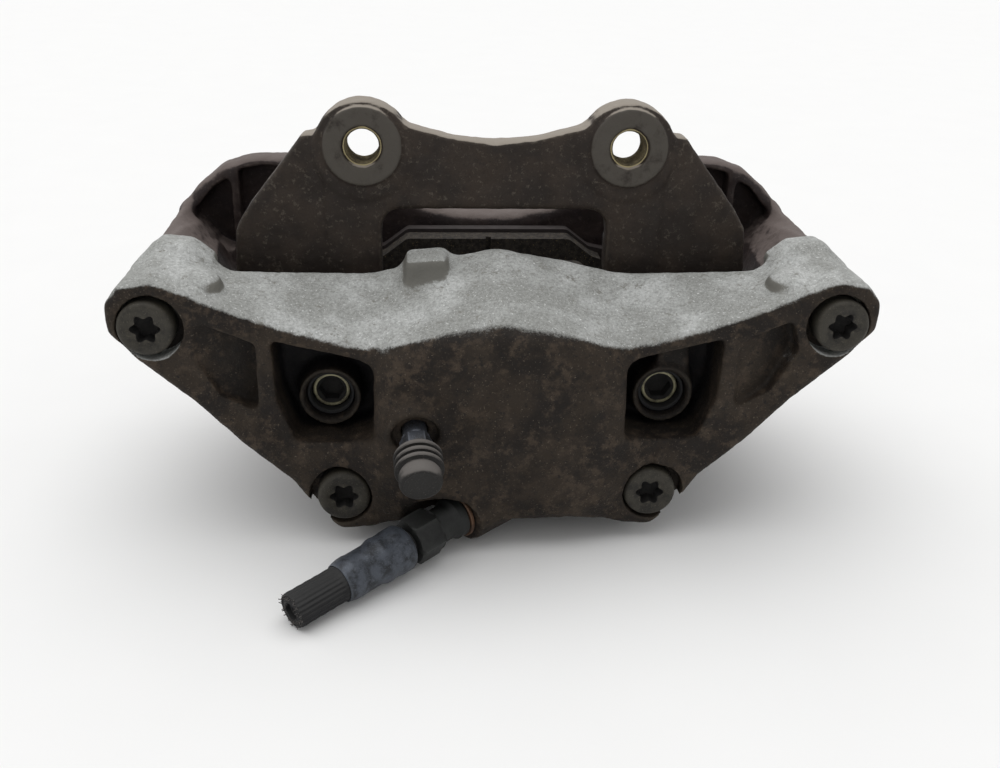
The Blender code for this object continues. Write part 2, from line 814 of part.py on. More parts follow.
def pad_outline(half_width, ear_half_width, inset):
    """A pad's outline: straight flanks, a bottom along the disc's edge and, with ears, two guides."""
    lowest = DISC_RADIUS - 1.5 * MM - inset
    top = PAD_TOP_Z / MM - inset / MM
    flank = half_width / MM
    half = [
        (0, top, 0),
        (36, top, 4),
        (46.5, top - 8, 4),
        (flank, top - 9.6, 1),
    ]
    if ear_half_width:
        reach = ear_half_width / MM
        half += [(reach, -58.6, 0), (reach, -71.4, 0), (flank, -71.4, 0)]
    half += disc_arc(lowest, half_width, 0, 6)
    return rounded(mirrored(half))


def make_pads():
    """Both pads, each a steel plate with its friction lining."""
    plate = pad_outline(PAD_HALF_WIDTH, PAD_EAR_HALF_WIDTH, 0)
    lining = pad_outline(PAD_HALF_WIDTH - 3 * MM, None, 1.5 * MM)
    inner_plate_y = -1.5 * MM
    outer_plate_y = WALL_INNER_Y - 2 * GAP - SHIM_THICKNESS - PLATE_THICKNESS
    prism("inner_pad_plate", plate, inner_plate_y, inner_plate_y + PLATE_THICKNESS, "cast_iron")
    prism("outer_pad_plate", plate, outer_plate_y, outer_plate_y + PLATE_THICKNESS, "cast_iron")
    inner = prism("inner_pad_lining", lining, inner_plate_y + PLATE_THICKNESS + GAP, INNER_LINING_Y, "friction")
    outer = prism("outer_pad_lining", lining, OUTER_LINING_Y, outer_plate_y - GAP, "friction")
    shim = pad_outline(PAD_HALF_WIDTH - 1 * MM, None, 1 * MM)
    prism("outer_pad_shim", shim, WALL_INNER_Y - GAP - SHIM_THICKNESS, WALL_INNER_Y - GAP, "steel")
    for pad in (inner, outer):
        low_y = min(corner[1] for corner in pad.bound_box)
        groove_y = INNER_LINING_Y if pad is inner else low_y
        groove = [(-1.2, -40, 0), (1.2, -40, 0), (1.2, -110, 0), (-1.2, -110, 0)]
        cutter = prism(f"{pad.name}_groove", rounded(groove), groove_y - 3 * MM, groove_y + 3 * MM)
        combine(pad, "DIFFERENCE", cutter)


def make_pad_clip():
    """The three-fingered clip that holds the inner pad in the piston's mouth."""
    builder_y = -1.5 * MM - GAP
    base = turned(
        "inner_pad_clip",
        [(0, builder_y - 1.4 * MM), (9 * MM, builder_y - 1.4 * MM), (9 * MM, builder_y), (0, builder_y)],
        *along_y(0, 0, PISTON_Z),
        "steel",
        steps=24,
    )
    fingers = []
    for finger in range(3):
        angle = math.pi / 2 + finger * 2 * math.pi / 3
        outward = Vector((math.cos(angle), 0, math.sin(angle)))
        across = Vector((-math.sin(angle), 0, math.cos(angle)))
        centre = Vector((0, 0, PISTON_Z))
        # reach from the axis, and depth behind the pad plate
        path = [(5, 1.2), (17, 1.2), (20, 4.5), (22.4, 10), (20.5, 14)]
        rings = []
        for reach, depth in path:
            middle = centre + outward * reach * MM + Vector((0, builder_y - depth * MM, 0))
            half = across * 3.5 * MM
            thick = Vector((0, 0.9 * MM, 0)) if depth < 3 else outward * 0.9 * MM
            rings.append([middle - half, middle + half, middle + half + thick, middle - half + thick])
        fingers.append(loft(f"clip_finger_{finger}", rings))
    combine(base, "UNION", *fingers)


def make_bleed_screw():
    """The bleed screw, and the rubber cap pushed over its nipple."""
    screw = [
        (0, -9.5 * MM),
        (1.6 * MM, -9.5 * MM),
        (4.6 * MM, -6.5 * MM),
        (4.6 * MM, 4.2 * MM),
        (4.2 * MM, 4.6 * MM),
        (4.2 * MM, 11 * MM),
        (3.2 * MM, 12.5 * MM),
        (3.2 * MM, 21 * MM),
        (3.8 * MM, 22 * MM),
        (3 * MM, 24.3 * MM),
        (0, 24.3 * MM),
    ]
    made = turned("bleed_screw", screw, BLEED_SEAT, BLEED_DIRECTION, "steel", steps=24)
    nut = [(0, 4.4 * MM), (6.1 * MM, 4.4 * MM), (6.1 * MM, 10.6 * MM), (0, 10.6 * MM)]
    combine(made, "UNION", turned("bleed_hexagon", nut, BLEED_SEAT, BLEED_DIRECTION, steps=6))
    cap = [(4.3 * MM, 12.2 * MM), (8.6 * MM, 12.2 * MM)]
    rib_radius = 9.1 * MM
    neck_radius = 7.8 * MM
    for rib in range(3):
        start = (13 + rib * 3.1) * MM
        cap += [(rib_radius, start), (rib_radius, start + 1.8 * MM)]
        cap += [(neck_radius, start + 2.3 * MM), (neck_radius, start + 2.7 * MM)]
    cap += [
        (7.9 * MM, 22.8 * MM),
        (7.9 * MM, 26 * MM),
        (6.4 * MM, 27.6 * MM),
        (0, 27.6 * MM),
        (0, 25.2 * MM),
        (4.3 * MM, 25.2 * MM),
    ]
    # The cap's profile meets the axis at its closed end and is open round the nipple.
    turned_cap("bleed_cap", cap, "cap_rubber")


def turned_cap(name, profile, finish):
    """A cap open at one end: its profile crosses the axis between two points of radius 0."""
    split = next(index for index, pair in enumerate(profile) if pair[0] == 0)
    outside = profile[: split + 1]
    inside = profile[split + 1 :]
    whole = inside + outside
    turned(name, whole, BLEED_SEAT, BLEED_DIRECTION, finish, steps=20)


def make_hose():
    """The cut-off brake hose: washer, fitting, crimped ferrule and a short stub."""
    washer = [(5.8 * MM, GAP), (9.2 * MM, GAP), (9.2 * MM, 1.8 * MM), (5.8 * MM, 1.8 * MM)]
    turned("hose_washer", washer, HOSE_SEAT, HOSE_DIRECTION, "copper", steps=20)
    fitting = [
        (0, -10 * MM),
        (5 * MM, -10 * MM),
        (5 * MM, 2.1 * MM),
        (8.4 * MM, 2.1 * MM),
        (8.4 * MM, 6 * MM),
        (7 * MM, 8 * MM),
        (7 * MM, 27 * MM),
        (5 * MM, 28 * MM),
        (5 * MM, 32.4 * MM),
        (0, 32.4 * MM),
    ]
    made = turned("hose_fitting", fitting, HOSE_SEAT, HOSE_DIRECTION, "steel", steps=20)
    nut = [(0, 14.5 * MM), (9.6 * MM, 14.5 * MM), (9.6 * MM, 26.2 * MM), (0, 26.2 * MM)]
    combine(made, "UNION", turned("fitting_hexagon", nut, HOSE_SEAT, HOSE_DIRECTION, steps=6))
    ferrule = [
        (5.4 * MM, 28.8 * MM),
        (8.6 * MM, 28.8 * MM),
        (9.2 * MM, 30.5 * MM),
        (9.2 * MM, 41 * MM),
        (8.2 * MM, 43.5 * MM),
        (8.2 * MM, 54 * MM),
        (7.6 * MM, 58 * MM),
        (7.1 * MM, 59 * MM),
        (7.1 * MM, 32.8 * MM),
        (5.4 * MM, 32.8 * MM),
    ]
    turned("hose_ferrule", ferrule, HOSE_SEAT, HOSE_DIRECTION, "steel", steps=20)
    stub = [
        (3.2 * MM, 33.4 * MM),
        (6.8 * MM, 33.4 * MM),
        (6.8 * MM, 79.5 * MM),
        (3.2 * MM, 80 * MM),
    ]
    turned("hose_stub", stub, HOSE_SEAT, HOSE_DIRECTION, "rubber", steps=20)
    liner = [(1.6 * MM, 33 * MM), (2.9 * MM, 33 * MM), (2.9 * MM, 78.5 * MM), (1.6 * MM, 78.5 * MM)]
    turned("hose_liner", liner, HOSE_SEAT, HOSE_DIRECTION, "rubber", steps=20)


def main():
    for leftover in list(bpy.data.objects):
        bpy.data.objects.remove(leftover)
    make_carrier()
    make_housing()
    make_frame()
    make_frame_bolts()
    make_guide_pins()
    make_piston()
    make_pads()
    make_pad_clip()
    make_bleed_screw()
    make_hose()


main()
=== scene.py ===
"""The looks of a floating frame-type brake caliper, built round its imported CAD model.

The three castings are modelled as distance fields: simple solids are joined with fillets and cut
on a fine lattice, and the surface between inside and outside becomes the mesh. Fields, outlines
and profiles are in millimetres, in the CAD model's own frame, and meshes are in metres.
"""

import math

import bpy
import numpy as np
from mathutils import Matrix, Vector


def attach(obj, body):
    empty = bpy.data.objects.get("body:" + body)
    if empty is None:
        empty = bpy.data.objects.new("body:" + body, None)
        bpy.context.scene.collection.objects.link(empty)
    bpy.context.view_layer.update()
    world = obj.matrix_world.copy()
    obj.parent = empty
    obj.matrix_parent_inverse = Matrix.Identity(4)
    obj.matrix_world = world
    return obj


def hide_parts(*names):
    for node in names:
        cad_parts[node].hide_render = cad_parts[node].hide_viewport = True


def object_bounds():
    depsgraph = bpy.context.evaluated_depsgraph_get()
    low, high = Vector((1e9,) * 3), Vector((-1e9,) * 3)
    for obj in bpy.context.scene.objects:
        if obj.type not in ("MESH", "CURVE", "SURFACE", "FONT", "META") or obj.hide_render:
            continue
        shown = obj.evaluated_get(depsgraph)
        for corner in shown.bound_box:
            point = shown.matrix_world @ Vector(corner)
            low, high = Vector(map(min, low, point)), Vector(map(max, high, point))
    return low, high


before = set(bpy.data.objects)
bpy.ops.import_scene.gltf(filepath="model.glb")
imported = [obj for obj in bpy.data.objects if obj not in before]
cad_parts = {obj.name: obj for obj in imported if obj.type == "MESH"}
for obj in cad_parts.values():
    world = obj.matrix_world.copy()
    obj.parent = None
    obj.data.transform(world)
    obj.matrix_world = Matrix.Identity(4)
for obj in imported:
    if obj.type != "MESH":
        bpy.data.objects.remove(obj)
CAD_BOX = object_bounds()
MM = 0.001

# Places that the castings share with the pieces they hold
DISC_AXIS_Z = 48
LUG_X = 51.7
LUG_RADIUS = 15.3
PISTON_Z = -80
UPPER_BOLT = (128.5, -55.5)
LOWER_BOLT = (60, -124.3)
BOLT_HEAD_RADIUS = 10.3
BOLT_HEAD_DEPTH = 9
BOLT_HOLE_RADIUS = 6
PIN_X = 64.8
PIN_Z = -88
BUSH_BORE_RADIUS = 9.5
BORE_RADIUS = 30.3
BORE_FLOOR_Y = -34
HOUSING_BACK_Y = -9
EAR_FRONT_Y = -46
EAR_BACK_Y = -2
FRONT_LEAN = 4 / 70
TOUCH_GAP = 0.3
WALL_INNER_Y = 61.4
WALL_OUTER_Y = 78
FRAME_CLEAR_RADIUS = 168.5
BLEED_SEAT = Vector((-32.2, -57.7, -92.3))
BLEED_DIRECTION = Vector((0.09, -0.96, -0.27)).normalized()
HOSE_SEAT = Vector((-15, -50, -133))
HOSE_DIRECTION = Vector((-0.758, -0.649, -0.081)).normalized()
SIDES = ((-1, "left"), (1, "right"))

# Planes clear of the housing, where the cuts through it begin and end
CLEAR_FRONT_Y = -70
CLEAR_BACK_Y = 5


# ---------------------------------------------------------------- distance fields


class Lattice:
    """Sample points on which a casting's distance field is worked out."""

    def __init__(self, low, high, step):
        self.low = np.array(low, float)
        self.step = step
        axes = [np.arange(start, end + step, step) for start, end in zip(low, high)]
        self.x = axes[0][:, None, None].astype(np.float32)
        self.y = axes[1][None, :, None].astype(np.float32)
        self.z = axes[2][None, None, :].astype(np.float32)


def rounded(corners, steps=5):
    """An outline from (x, z, radius) corners, each rounded by its radius."""
    outline = []
    for index, (x, z, radius) in enumerate(corners):
        corner = Vector((x, z))
        if radius == 0:
            outline.append(corner)
            continue
        before = Vector(corners[index - 1][:2]) - corner
        after = Vector(corners[(index + 1) % len(corners)][:2]) - corner
        reach = max(radius / math.tan(before.angle(after) / 2), 0.25 * radius)
        reach = min(reach, 0.49 * before.length, 0.49 * after.length)
        start = corner + before.normalized() * reach
        end = corner + after.normalized() * reach
        for step in range(steps + 1):
            share = step / steps
            outline.append((1 - share) ** 2 * start + 2 * share * (1 - share) * corner + share**2 * end)
    return outline


def mirrored(half):
    """A whole outline from its half at +X, which runs from the top of X = 0 to its bottom."""
    return half + [(-x, z, radius) for x, z, radius in reversed(half) if x > 0]


def on_side(side, corners):
    """An outline drawn for +X, moved to its own side."""
    return [(side * x, z, radius) for x, z, radius in corners]


def disc_arc(radius, from_x, to_x, steps=12):
    """Corners along a circle round the disc's axis."""
    across = [from_x + (to_x - from_x) * step / steps for step in range(steps + 1)]
    return [(x, DISC_AXIS_Z - math.sqrt(radius**2 - x**2), 0) for x in across]


def outline_gap(across, up, corners):
    """Signed distance to a closed outline in a plane, negative inside."""
    outline = rounded(corners)
    nearest = None
    inside = np.zeros(np.broadcast(across, up).shape, bool)
    for (ax, az), (bx, bz) in zip(outline, outline[1:] + outline[:1]):
        ex, ez = bx - ax, bz - az
        if ex * ex + ez * ez < 1e-9:
            continue
        wx, wz = across - ax, up - az
        share = np.clip((wx * ex + wz * ez) / (ex * ex + ez * ez), 0, 1)
        reach = (wx - ex * share) ** 2 + (wz - ez * share) ** 2
        nearest = reach if nearest is None else np.minimum(nearest, reach)
        if ez:
            inside ^= ((az > up) != (bz > up)) & (across < ex * (up - az) / ez + ax)
    return np.sqrt(nearest) * np.where(inside, -1, 1).astype(np.float32)


def join(first, second, fillet):
    """Both solids together, with a fillet where they meet."""
    share = np.clip(0.5 + 0.5 * (second - first) / fillet, 0, 1)
    return second + (first - second) * share - fillet * share * (1 - share)


def common(first, second, rounding):
    """What both solids hold, with its new corners rounded."""
    return -join(-first, -second, rounding)


def cut(solid, tool, rounding):
    """The solid without the tool, with its new corners rounded."""
    return -join(-solid, tool, rounding)


def slab(values, low, high):
    """Signed distance to the space between two planes."""
    return np.maximum(low - values, values - high)


def prism(lattice, corners, low_y, high_y, rounding=0.5):
    """An outline of the XZ plane drawn out along Y."""
    sides = outline_gap(lattice.x, lattice.z, corners)
    return common(sides, slab(lattice.y, low_y, high_y), rounding)


def round_y(lattice, x, z, radius, low_y, high_y, spread=0, rounding=0.5):
    """A cylinder along Y. A spread widens it by that much towards its far end."""
    reach = np.hypot(lattice.x - x, lattice.z - z)
    widening = spread * np.clip((lattice.y - low_y) / (high_y - low_y), 0, 1)
    return common(reach - radius - widening, slab(lattice.y, low_y, high_y), rounding)


def round_along(lattice, point, direction, radius, low, high, spread=0, rounding=0.5):
    """A cylinder along any direction, between two heights above the point."""
    x, y, z = lattice.x - point[0], lattice.y - point[1], lattice.z - point[2]
    height = x * direction[0] + y * direction[1] + z * direction[2]
    reach = np.sqrt(np.maximum(x * x + y * y + z * z - height * height, 0))
    widening = spread * np.clip((height - low) / (high - low), 0, 1)
    return common(reach - radius - widening, slab(height, low, high), rounding)


def ellipsoid(lattice, centre, half):
    """A ball flattened to its half-widths along X, Y and Z."""
    axes = zip((lattice.x, lattice.y, lattice.z), centre, half)
    reach = sum(((axis - middle) / size) ** 2 for axis, middle, size in axes)
    return (np.sqrt(reach) - 1) * min(half)


def changing_sides(lattice, front, back, front_y, back_y):
    """Signed distance to sides whose outline changes from one in front to another at the back."""
    share = np.clip((lattice.y - front_y) / (back_y - front_y), 0, 1)
    front_gap = outline_gap(lattice.x, lattice.z, front)
    back_gap = outline_gap(lattice.x, lattice.z, back)
    return front_gap + (back_gap - front_gap) * share


def surface_mesh(name, field, lattice):
    """The mesh of a field's zero surface, with one vertex in each cell that it passes through."""
    cells, points, quads = [], [], []
    for axis in range(3):
        ahead = [slice(None)] * 3
        behind = [slice(None)] * 3
        ahead[axis] = slice(1, None)
        behind[axis] = slice(None, -1)
        first, second = field[tuple(behind)], field[tuple(ahead)]
        crossed = (first < 0) != (second < 0)
        edges = np.argwhere(crossed)
        start, end = first[crossed], second[crossed]
        point = edges.astype(float)
        point[:, axis] += start / (start - end)
        u, v = (axis + 1) % 3, (axis + 2) % 3
        around = []
        for step_u, step_v in ((-1, -1), (0, -1), (0, 0), (-1, 0)):
            cell = edges.copy()
            cell[:, u] += step_u
            cell[:, v] += step_v
            around.append(np.ravel_multi_index(cell.T, field.shape))
        around = np.stack(around, 1)
        quads.append(np.where((start < 0)[:, None], around, around[:, ::-1]))
        cells.append(around.ravel())
        points.append(np.repeat(point, 4, axis=0))
    points = np.concatenate(points)
    used, index = np.unique(np.concatenate(cells), return_inverse=True)
    counts = np.bincount(index)
    corners = np.stack([np.bincount(index, points[:, axis]) / counts for axis in range(3)], 1)
    corners = (lattice.low + corners * lattice.step) * MM
    faces = np.searchsorted(used, np.concatenate(quads))
    mesh = bpy.data.meshes.new(name)
    mesh.vertices.add(len(corners))
    mesh.vertices.foreach_set("co", corners.astype(np.float32).ravel())
    mesh.loops.add(faces.size)
    mesh.loops.foreach_set("vertex_index", faces.astype(np.int32).ravel())
    mesh.polygons.add(len(faces))
    mesh.polygons.foreach_set("loop_start", np.arange(0, faces.size, 4, dtype=np.int32))
    mesh.update(calc_edges=True)
    mesh.validate()
    mesh.shade_smooth()
    return mesh


# ---------------------------------------------------------------- pieces


def add_object(name, data):
    thing = bpy.data.objects.new(name, data)
    bpy.context.scene.collection.objects.link(thing)
    return thing


def place_piece(name, shape, material, body, slot, *replaced):
    """Puts a mesh or curve in the scene as a piece that rides on a body and stands for CAD nodes."""
    piece = add_object(name, shape)
    shape.materials.append(material)
    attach(piece, body)
    if replaced:
        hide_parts(*replaced)
    return piece


def place_casting(name, lattice, solid, material, body, slot, node, unevenness, size):
    """Places a casting, evens out its lattice's traces and adds the unevenness of its mould."""
    piece = place_piece(name, surface_mesh(name, solid, lattice), material, body, slot, node)
    smooth = piece.modifiers.new("calm", "SMOOTH")
    smooth.factor = 0.5
    smooth.iterations = 1
    texture = bpy.data.textures.new(f"{name}_skin", "CLOUDS")
    texture.noise_scale = size * MM
    texture.noise_depth = 3
    skin = piece.modifiers.new("cast_skin", "DISPLACE")
    skin.texture = texture
    skin.texture_coords = "LOCAL"
    skin.strength = unevenness * MM
    skin.mid_level = 0.5


# ---------------------------------------------------------------- castings


def wing_front_y(z):
    """The wings' front face, which leans back towards its top."""
    return EAR_FRONT_Y - FRONT_LEAN * (UPPER_BOLT[1] - z)


def bolt_face_y(bolt):
    """The seat of a bolt's head, which stands 1.5 mm proud of the wing."""
    return wing_front_y(bolt[1]) + BOLT_HEAD_DEPTH - 1.5


def wings(lattice):
    """The two wings and the web between them, whose outline changes from front to back."""
    upper = [
        # front x, front z, back x, back z, radius
        (0, -68, 0, -56, 0),
        (30, -64, 34, -47, 0),
        (40, -62.6, 41, -45.6, 0),
        (57, -62.2, 57, -45.6, 8),
        (76, -57.4, 78, -45.6, 8),
        (97, -49.6, 103, -45.4, 8),
        (113, -42.8, 110, -40.4, 4),
        (126, -38, 117, -34.4, 5),
        (137, -39.6, 129, -33, 5),
        (143.3, -47, 139, -43, 5),
        (143, -57.5, 141, -57, 5),
        (133.5, -68, 133, -67.5, 6),
    ]
    lower = [
        (113.5, -85.5, 6), (96.5, -103.5, 6), (79.5, -118.5, 8), (71.5, -130.5, 7), (62, -140.2, 7),
        (50, -139.2, 8), (38, -133, 6), (28, -127.5, 0), (0, -127, 0),
    ]
    front = mirrored([(x, z, radius) for x, z, _, _, radius in upper] + lower)
    back = mirrored([(x, z, radius) for _, _, x, z, radius in upper] + lower)
    face_y = wing_front_y(lattice.z)
    sides = changing_sides(lattice, front, back, face_y, HOUSING_BACK_Y)
    return common(sides, slab(lattice.y, face_y, HOUSING_BACK_Y), 4)


def cylinder_skin(lattice):
    """The bulge round the piston: round above, rising towards its back, and squarer towards its foot."""
    front_y, back_y = -57.7, -2.2
    half_width, foot_depth, mean_radius = 46.3, 52, 38
    top_power, foot_power = 2.0, 4.0
    share = np.clip((lattice.y - front_y) / (back_y - front_y), 0, 1)
    ridge = 0.8 * np.clip(1 - (lattice.x / 8) ** 2, 0, 1)
    rise = 26 + 18 * share + ridge
    up = lattice.z - PISTON_Z
    across = np.abs(lattice.x) / half_width
    top = (across**top_power + (np.maximum(up, 0) / rise) ** top_power) ** (1 / top_power)
    foot = (across**foot_power + (np.maximum(-up, 0) / foot_depth) ** foot_power) ** (1 / foot_power)
    skin = (np.where(up > 0, top, foot) - 1) * mean_radius
    return common(skin, slab(lattice.y, front_y, back_y), 11)


def make_housing(material):
    """The aluminium casting: wings, cylinder and bosses first, then its pockets, bore and drillings."""
    lattice = Lattice((-146, -66, -150), (146, 0.5, -29), 0.8)
    bleed_axis = (BLEED_SEAT, BLEED_DIRECTION)
    hose_axis = (HOSE_SEAT, HOSE_DIRECTION)
    solid = join(wings(lattice), cylinder_skin(lattice), 15)
    spring_block = [(-35.5, -38, 3), (-20, -37, 3), (-17, -52, 0), (-35.5, -52, 0)]
    solid = join(solid, prism(lattice, spring_block, -22, -6, 3), 5)
    hose_boss = round_along(lattice, *hose_axis, radius=13.2, low=-34, high=0, spread=-1.4, rounding=1.5)
    solid = join(solid, hose_boss, 6)
    bleed_boss = round_along(lattice, *bleed_axis, radius=13.8, low=-14, high=2, spread=-2.6, rounding=1.5)
    solid = join(solid, bleed_boss, 4)
    solid = cut(solid, round_along(lattice, *bleed_axis, radius=8.6, low=-0.5, high=8), 1.2)
    for side, _ in SIDES:
        solid = ear_and_pockets(lattice, solid, side)
    for side, _ in SIDES:
        solid = machined_holes(lattice, solid, side)
    bore = (BORE_RADIUS, BORE_FLOOR_Y, CLEAR_BACK_Y)
    seal_groove = (BORE_RADIUS + 3.4, -20, -16)
    boot_groove = (BORE_RADIUS + 4.6, -9, CLEAR_BACK_Y)
    reach = np.hypot(lattice.x, lattice.z - PISTON_Z)
    for radius, low, high in (bore, seal_groove, boot_groove):
        solid = np.maximum(solid, -np.maximum(reach - radius, slab(lattice.y, low, high)))
    drillings = (
        # axis, radius, foot, top, rounding
        (bleed_axis, 5, -10, 6, 0.5),
        (bleed_axis, 2.2, -29, 0, 0.3),
        (hose_axis, 5.3, -11, 1, 0.5),
        (hose_axis, 2.5, -24, 0, 0.3),
        (hose_axis, 12, 0, 40, 1.0),
    )
    for axis, radius, low, high, rounding in drillings:
        solid = cut(solid, round_along(lattice, *axis, radius, low, high), rounding)
    stands_for = ("caliper", "housing_aluminium", "cylinder_housing")
    place_casting("housing_casting", lattice, solid, material, *stands_for, unevenness=0.5, size=5)


def ear_and_pockets(lattice, solid, side):
    """An ear that reaches back to the frame, a wing's pockets, and the boss round the guide pin."""
    ear = [(109, -41, 4), (117, -34.4, 5), (129, -33, 5), (138.5, -43, 5)]
    ear += [(140, -57, 5), (132, -67, 6), (116, -70, 4), (110, -58, 4)]
    solid = join(solid, prism(lattice, on_side(side, ear), HOUSING_BACK_Y - 8, EAR_BACK_Y, 2.5), 3)
    bump = ellipsoid(lattice, (side * 113, -31, -43.5), (10, 9, 5))
    solid = join(solid, bump, 3)
    triangle = [(90, -62, 3), (110, -53.6, 3), (113.5, -65, 4), (104, -82, 4), (90.5, -89, 3)]
    outline = outline_gap(lattice.x, lattice.z, on_side(side, triangle))
    # both floors deepen towards +X
    shallow_x = 88 if side > 0 else -115
    slope_width, slope_depth = 24, 8
    deepening = np.clip((lattice.x - shallow_x) / slope_width, 0, 1)
    floor_y = EAR_FRONT_Y - 0.5 + slope_depth * deepening
    solid = cut(solid, common(outline, lattice.y - floor_y, 2), 1.2)
    around_pin = [(47, -69.5, 5), (84.5, -60.8, 2), (83.5, -84, 6)]
    around_pin += [(77, -101.5, 4), (60, -102, 5), (47.6, -98.5, 4)]
    solid = cut(solid, prism(lattice, on_side(side, around_pin), CLEAR_FRONT_Y, -25, 3), 1.6)
    boss = round_y(lattice, side * PIN_X, PIN_Z, radius=11.7, low_y=-37, high_y=-20, spread=1.6, rounding=1.0)
    if side > 0:
        web = [(61, -78, 0), (63, -62, 0), (73.5, -62, 0), (75.5, -84, 0)]
        boss = join(boss, prism(lattice, web, -35.5, -20, 2), 3)
        small_boss = round_y(lattice, 65.5, -109, radius=4.4, low_y=-50.4, high_y=-40, rounding=1.2)
        solid = join(solid, small_boss, 2)
    return join(solid, boss, 3)


def machined_holes(lattice, solid, side):
    """The recesses and holes of the bolts, and the bore of the guide bush."""
    recess_radius = BOLT_HEAD_RADIUS + 1.8
    for bolt, offset in ((UPPER_BOLT, -1.3), (LOWER_BOLT, 1.3)):
        seat_y = bolt_face_y(bolt)
        recess_x = side * (bolt[0] + offset)
        solid = cut(solid, round_y(lattice, recess_x, bolt[1], recess_radius, CLEAR_FRONT_Y, seat_y), 0.6)
        hole = round_y(lattice, side * bolt[0], bolt[1], BOLT_HOLE_RADIUS, seat_y - 1, CLEAR_BACK_Y)
        solid = cut(solid, hole, 0.3)
    pin = (side * PIN_X, PIN_Z)
    solid = cut(solid, round_y(lattice, *pin, BUSH_BORE_RADIUS + 1.1, CLEAR_FRONT_Y, -36.4), 0.6)
    return cut(solid, round_y(lattice, *pin, BUSH_BORE_RADIUS, CLEAR_FRONT_Y, CLEAR_BACK_Y), 1.2)


def make_carrier(material):
    """The bracket: a plate with two lugs, and on each side an arm past the disc to an outboard abutment."""
    lattice = Lattice((-106, -1.5, -126), (106, 62.5, 18), 0.8)
    plate_back_y = 14.2
    pad_notch = [(55.5, -72.5, 0), (61.5, -72.5, 0), (61.5, -57.5, 0), (55.5, -57.5, 0)]
    plate_half = [
        (0, 1.2, 0), (16, 2.4, 20), (36, 7.8, 4), (60, 7.8, 3), (66.5, 4, 2), (74.5, 4, 4),
        (79, -2, 3), (97, -24.5, 6), (102.6, -33.5, 8), (104, -50, 0), *disc_arc(166, 104, 55.5),
        *pad_notch, (55.5, -54, 1.5), (45.5, -54, 2), (45.5, -25.4, 9), (0, -25.4, 0),
    ]
    solid = prism(lattice, mirrored(plate_half), 3.5, plate_back_y, 2.4)
    leg_half = [(0, 0, 0), (38, 8, 4), (66.5, 8, 4), (67.5, -110, 4)]
    leg_half += [(45, -110, 0), (45, -24, 9), (0, -24, 0)]
    leg_step = prism(lattice, mirrored(leg_half), 2.6, 8, 1.2)
    solid = join(solid, common(leg_step, prism(lattice, mirrored(plate_half), 0, plate_back_y, 1), 1), 1.5)
    for side, _ in SIDES:
        shoulder = round_y(lattice, side * LUG_X, -2, LUG_RADIUS + 3.6, 2, 14, rounding=1.5)
        solid = join(solid, shoulder, 2)
        lug = round_y(lattice, side * LUG_X, 0, LUG_RADIUS - 0.2, 0, 15, spread=1.4, rounding=0.7)
        solid = join(solid, lug, 1.2)
        arm = on_side(side, disc_arc(154.5, 58, 98) + disc_arc(165, 99, 58))
        solid = join(solid, prism(lattice, arm, 11, 60.5, 2), 4)
        abutment = [(55.5, -53, 1.5), (74, -53, 6), (80, -72, 6), (84, -92, 0)]
        abutment += disc_arc(164, 80, 56, 6) + pad_notch
        solid = join(solid, prism(lattice, on_side(side, abutment), 45.5, 60, 1.5), 3)
        countersink = (side * LUG_X, 0, 7.9, -2, 1.6)
        lug_hole = (side * LUG_X, 0, 6.9, -2, 20)
        pin_hole = (side * PIN_X, PIN_Z, 4.5, -2, 20)
        for hole, rounding in ((countersink, 0.5), (lug_hole, 0.8), (pin_hole, 0.3)):
            solid = cut(solid, round_y(lattice, *hole), rounding)
    stands_for = ("carrier", "carrier_iron", "carrier_bracket")
    place_casting("carrier_casting", lattice, solid, material, *stands_for, unevenness=0.45, size=4)


def frame_side(lattice, side):
    """The wall along the disc's edge: a thick boss round the bolts that thins towards the outboard wall."""
    upper = [
        # front x, front z, back x, back z, radius
        (128.5, -34.5, 134.5, -39, 4),
        (122, -38, 131, -44, 2),
        (109, -49.5, 120, -58.5, 3),
        (109, -78, 108, -76, 4),
    ]
    lower = [
        *disc_arc(FRAME_CLEAR_RADIUS, 103, 46),
        (42, -119, 3), (44, -136, 8), (60, -139.5, 8), (70, -131, 7), (78, -119, 8),
        (95, -104, 6), (112, -86.5, 6), (129, -66.5, 6), (138.5, -56, 5),
    ]
    front = [(x, z, radius) for x, z, _, _, radius in upper] + lower + [(136.5, -43, 4)]
    back = [(x, z, radius) for _, _, x, z, radius in upper] + lower + [(137.5, -43.5, 4)]
    low_y, high_y = HOUSING_BACK_Y + TOUCH_GAP, WALL_INNER_Y + 6
    sides = changing_sides(lattice, on_side(side, front), on_side(side, back), low_y, high_y)
    side_wall = common(sides, slab(lattice.y, low_y, high_y), 2)
    ear_relief = [(100, -20, 0), (150, -20, 0), (150, -62, 0), (136, -76, 0), (106, -76, 0)]
    return cut(side_wall, prism(lattice, on_side(side, ear_relief), -20, EAR_BACK_Y + TOUCH_GAP), 0.5)


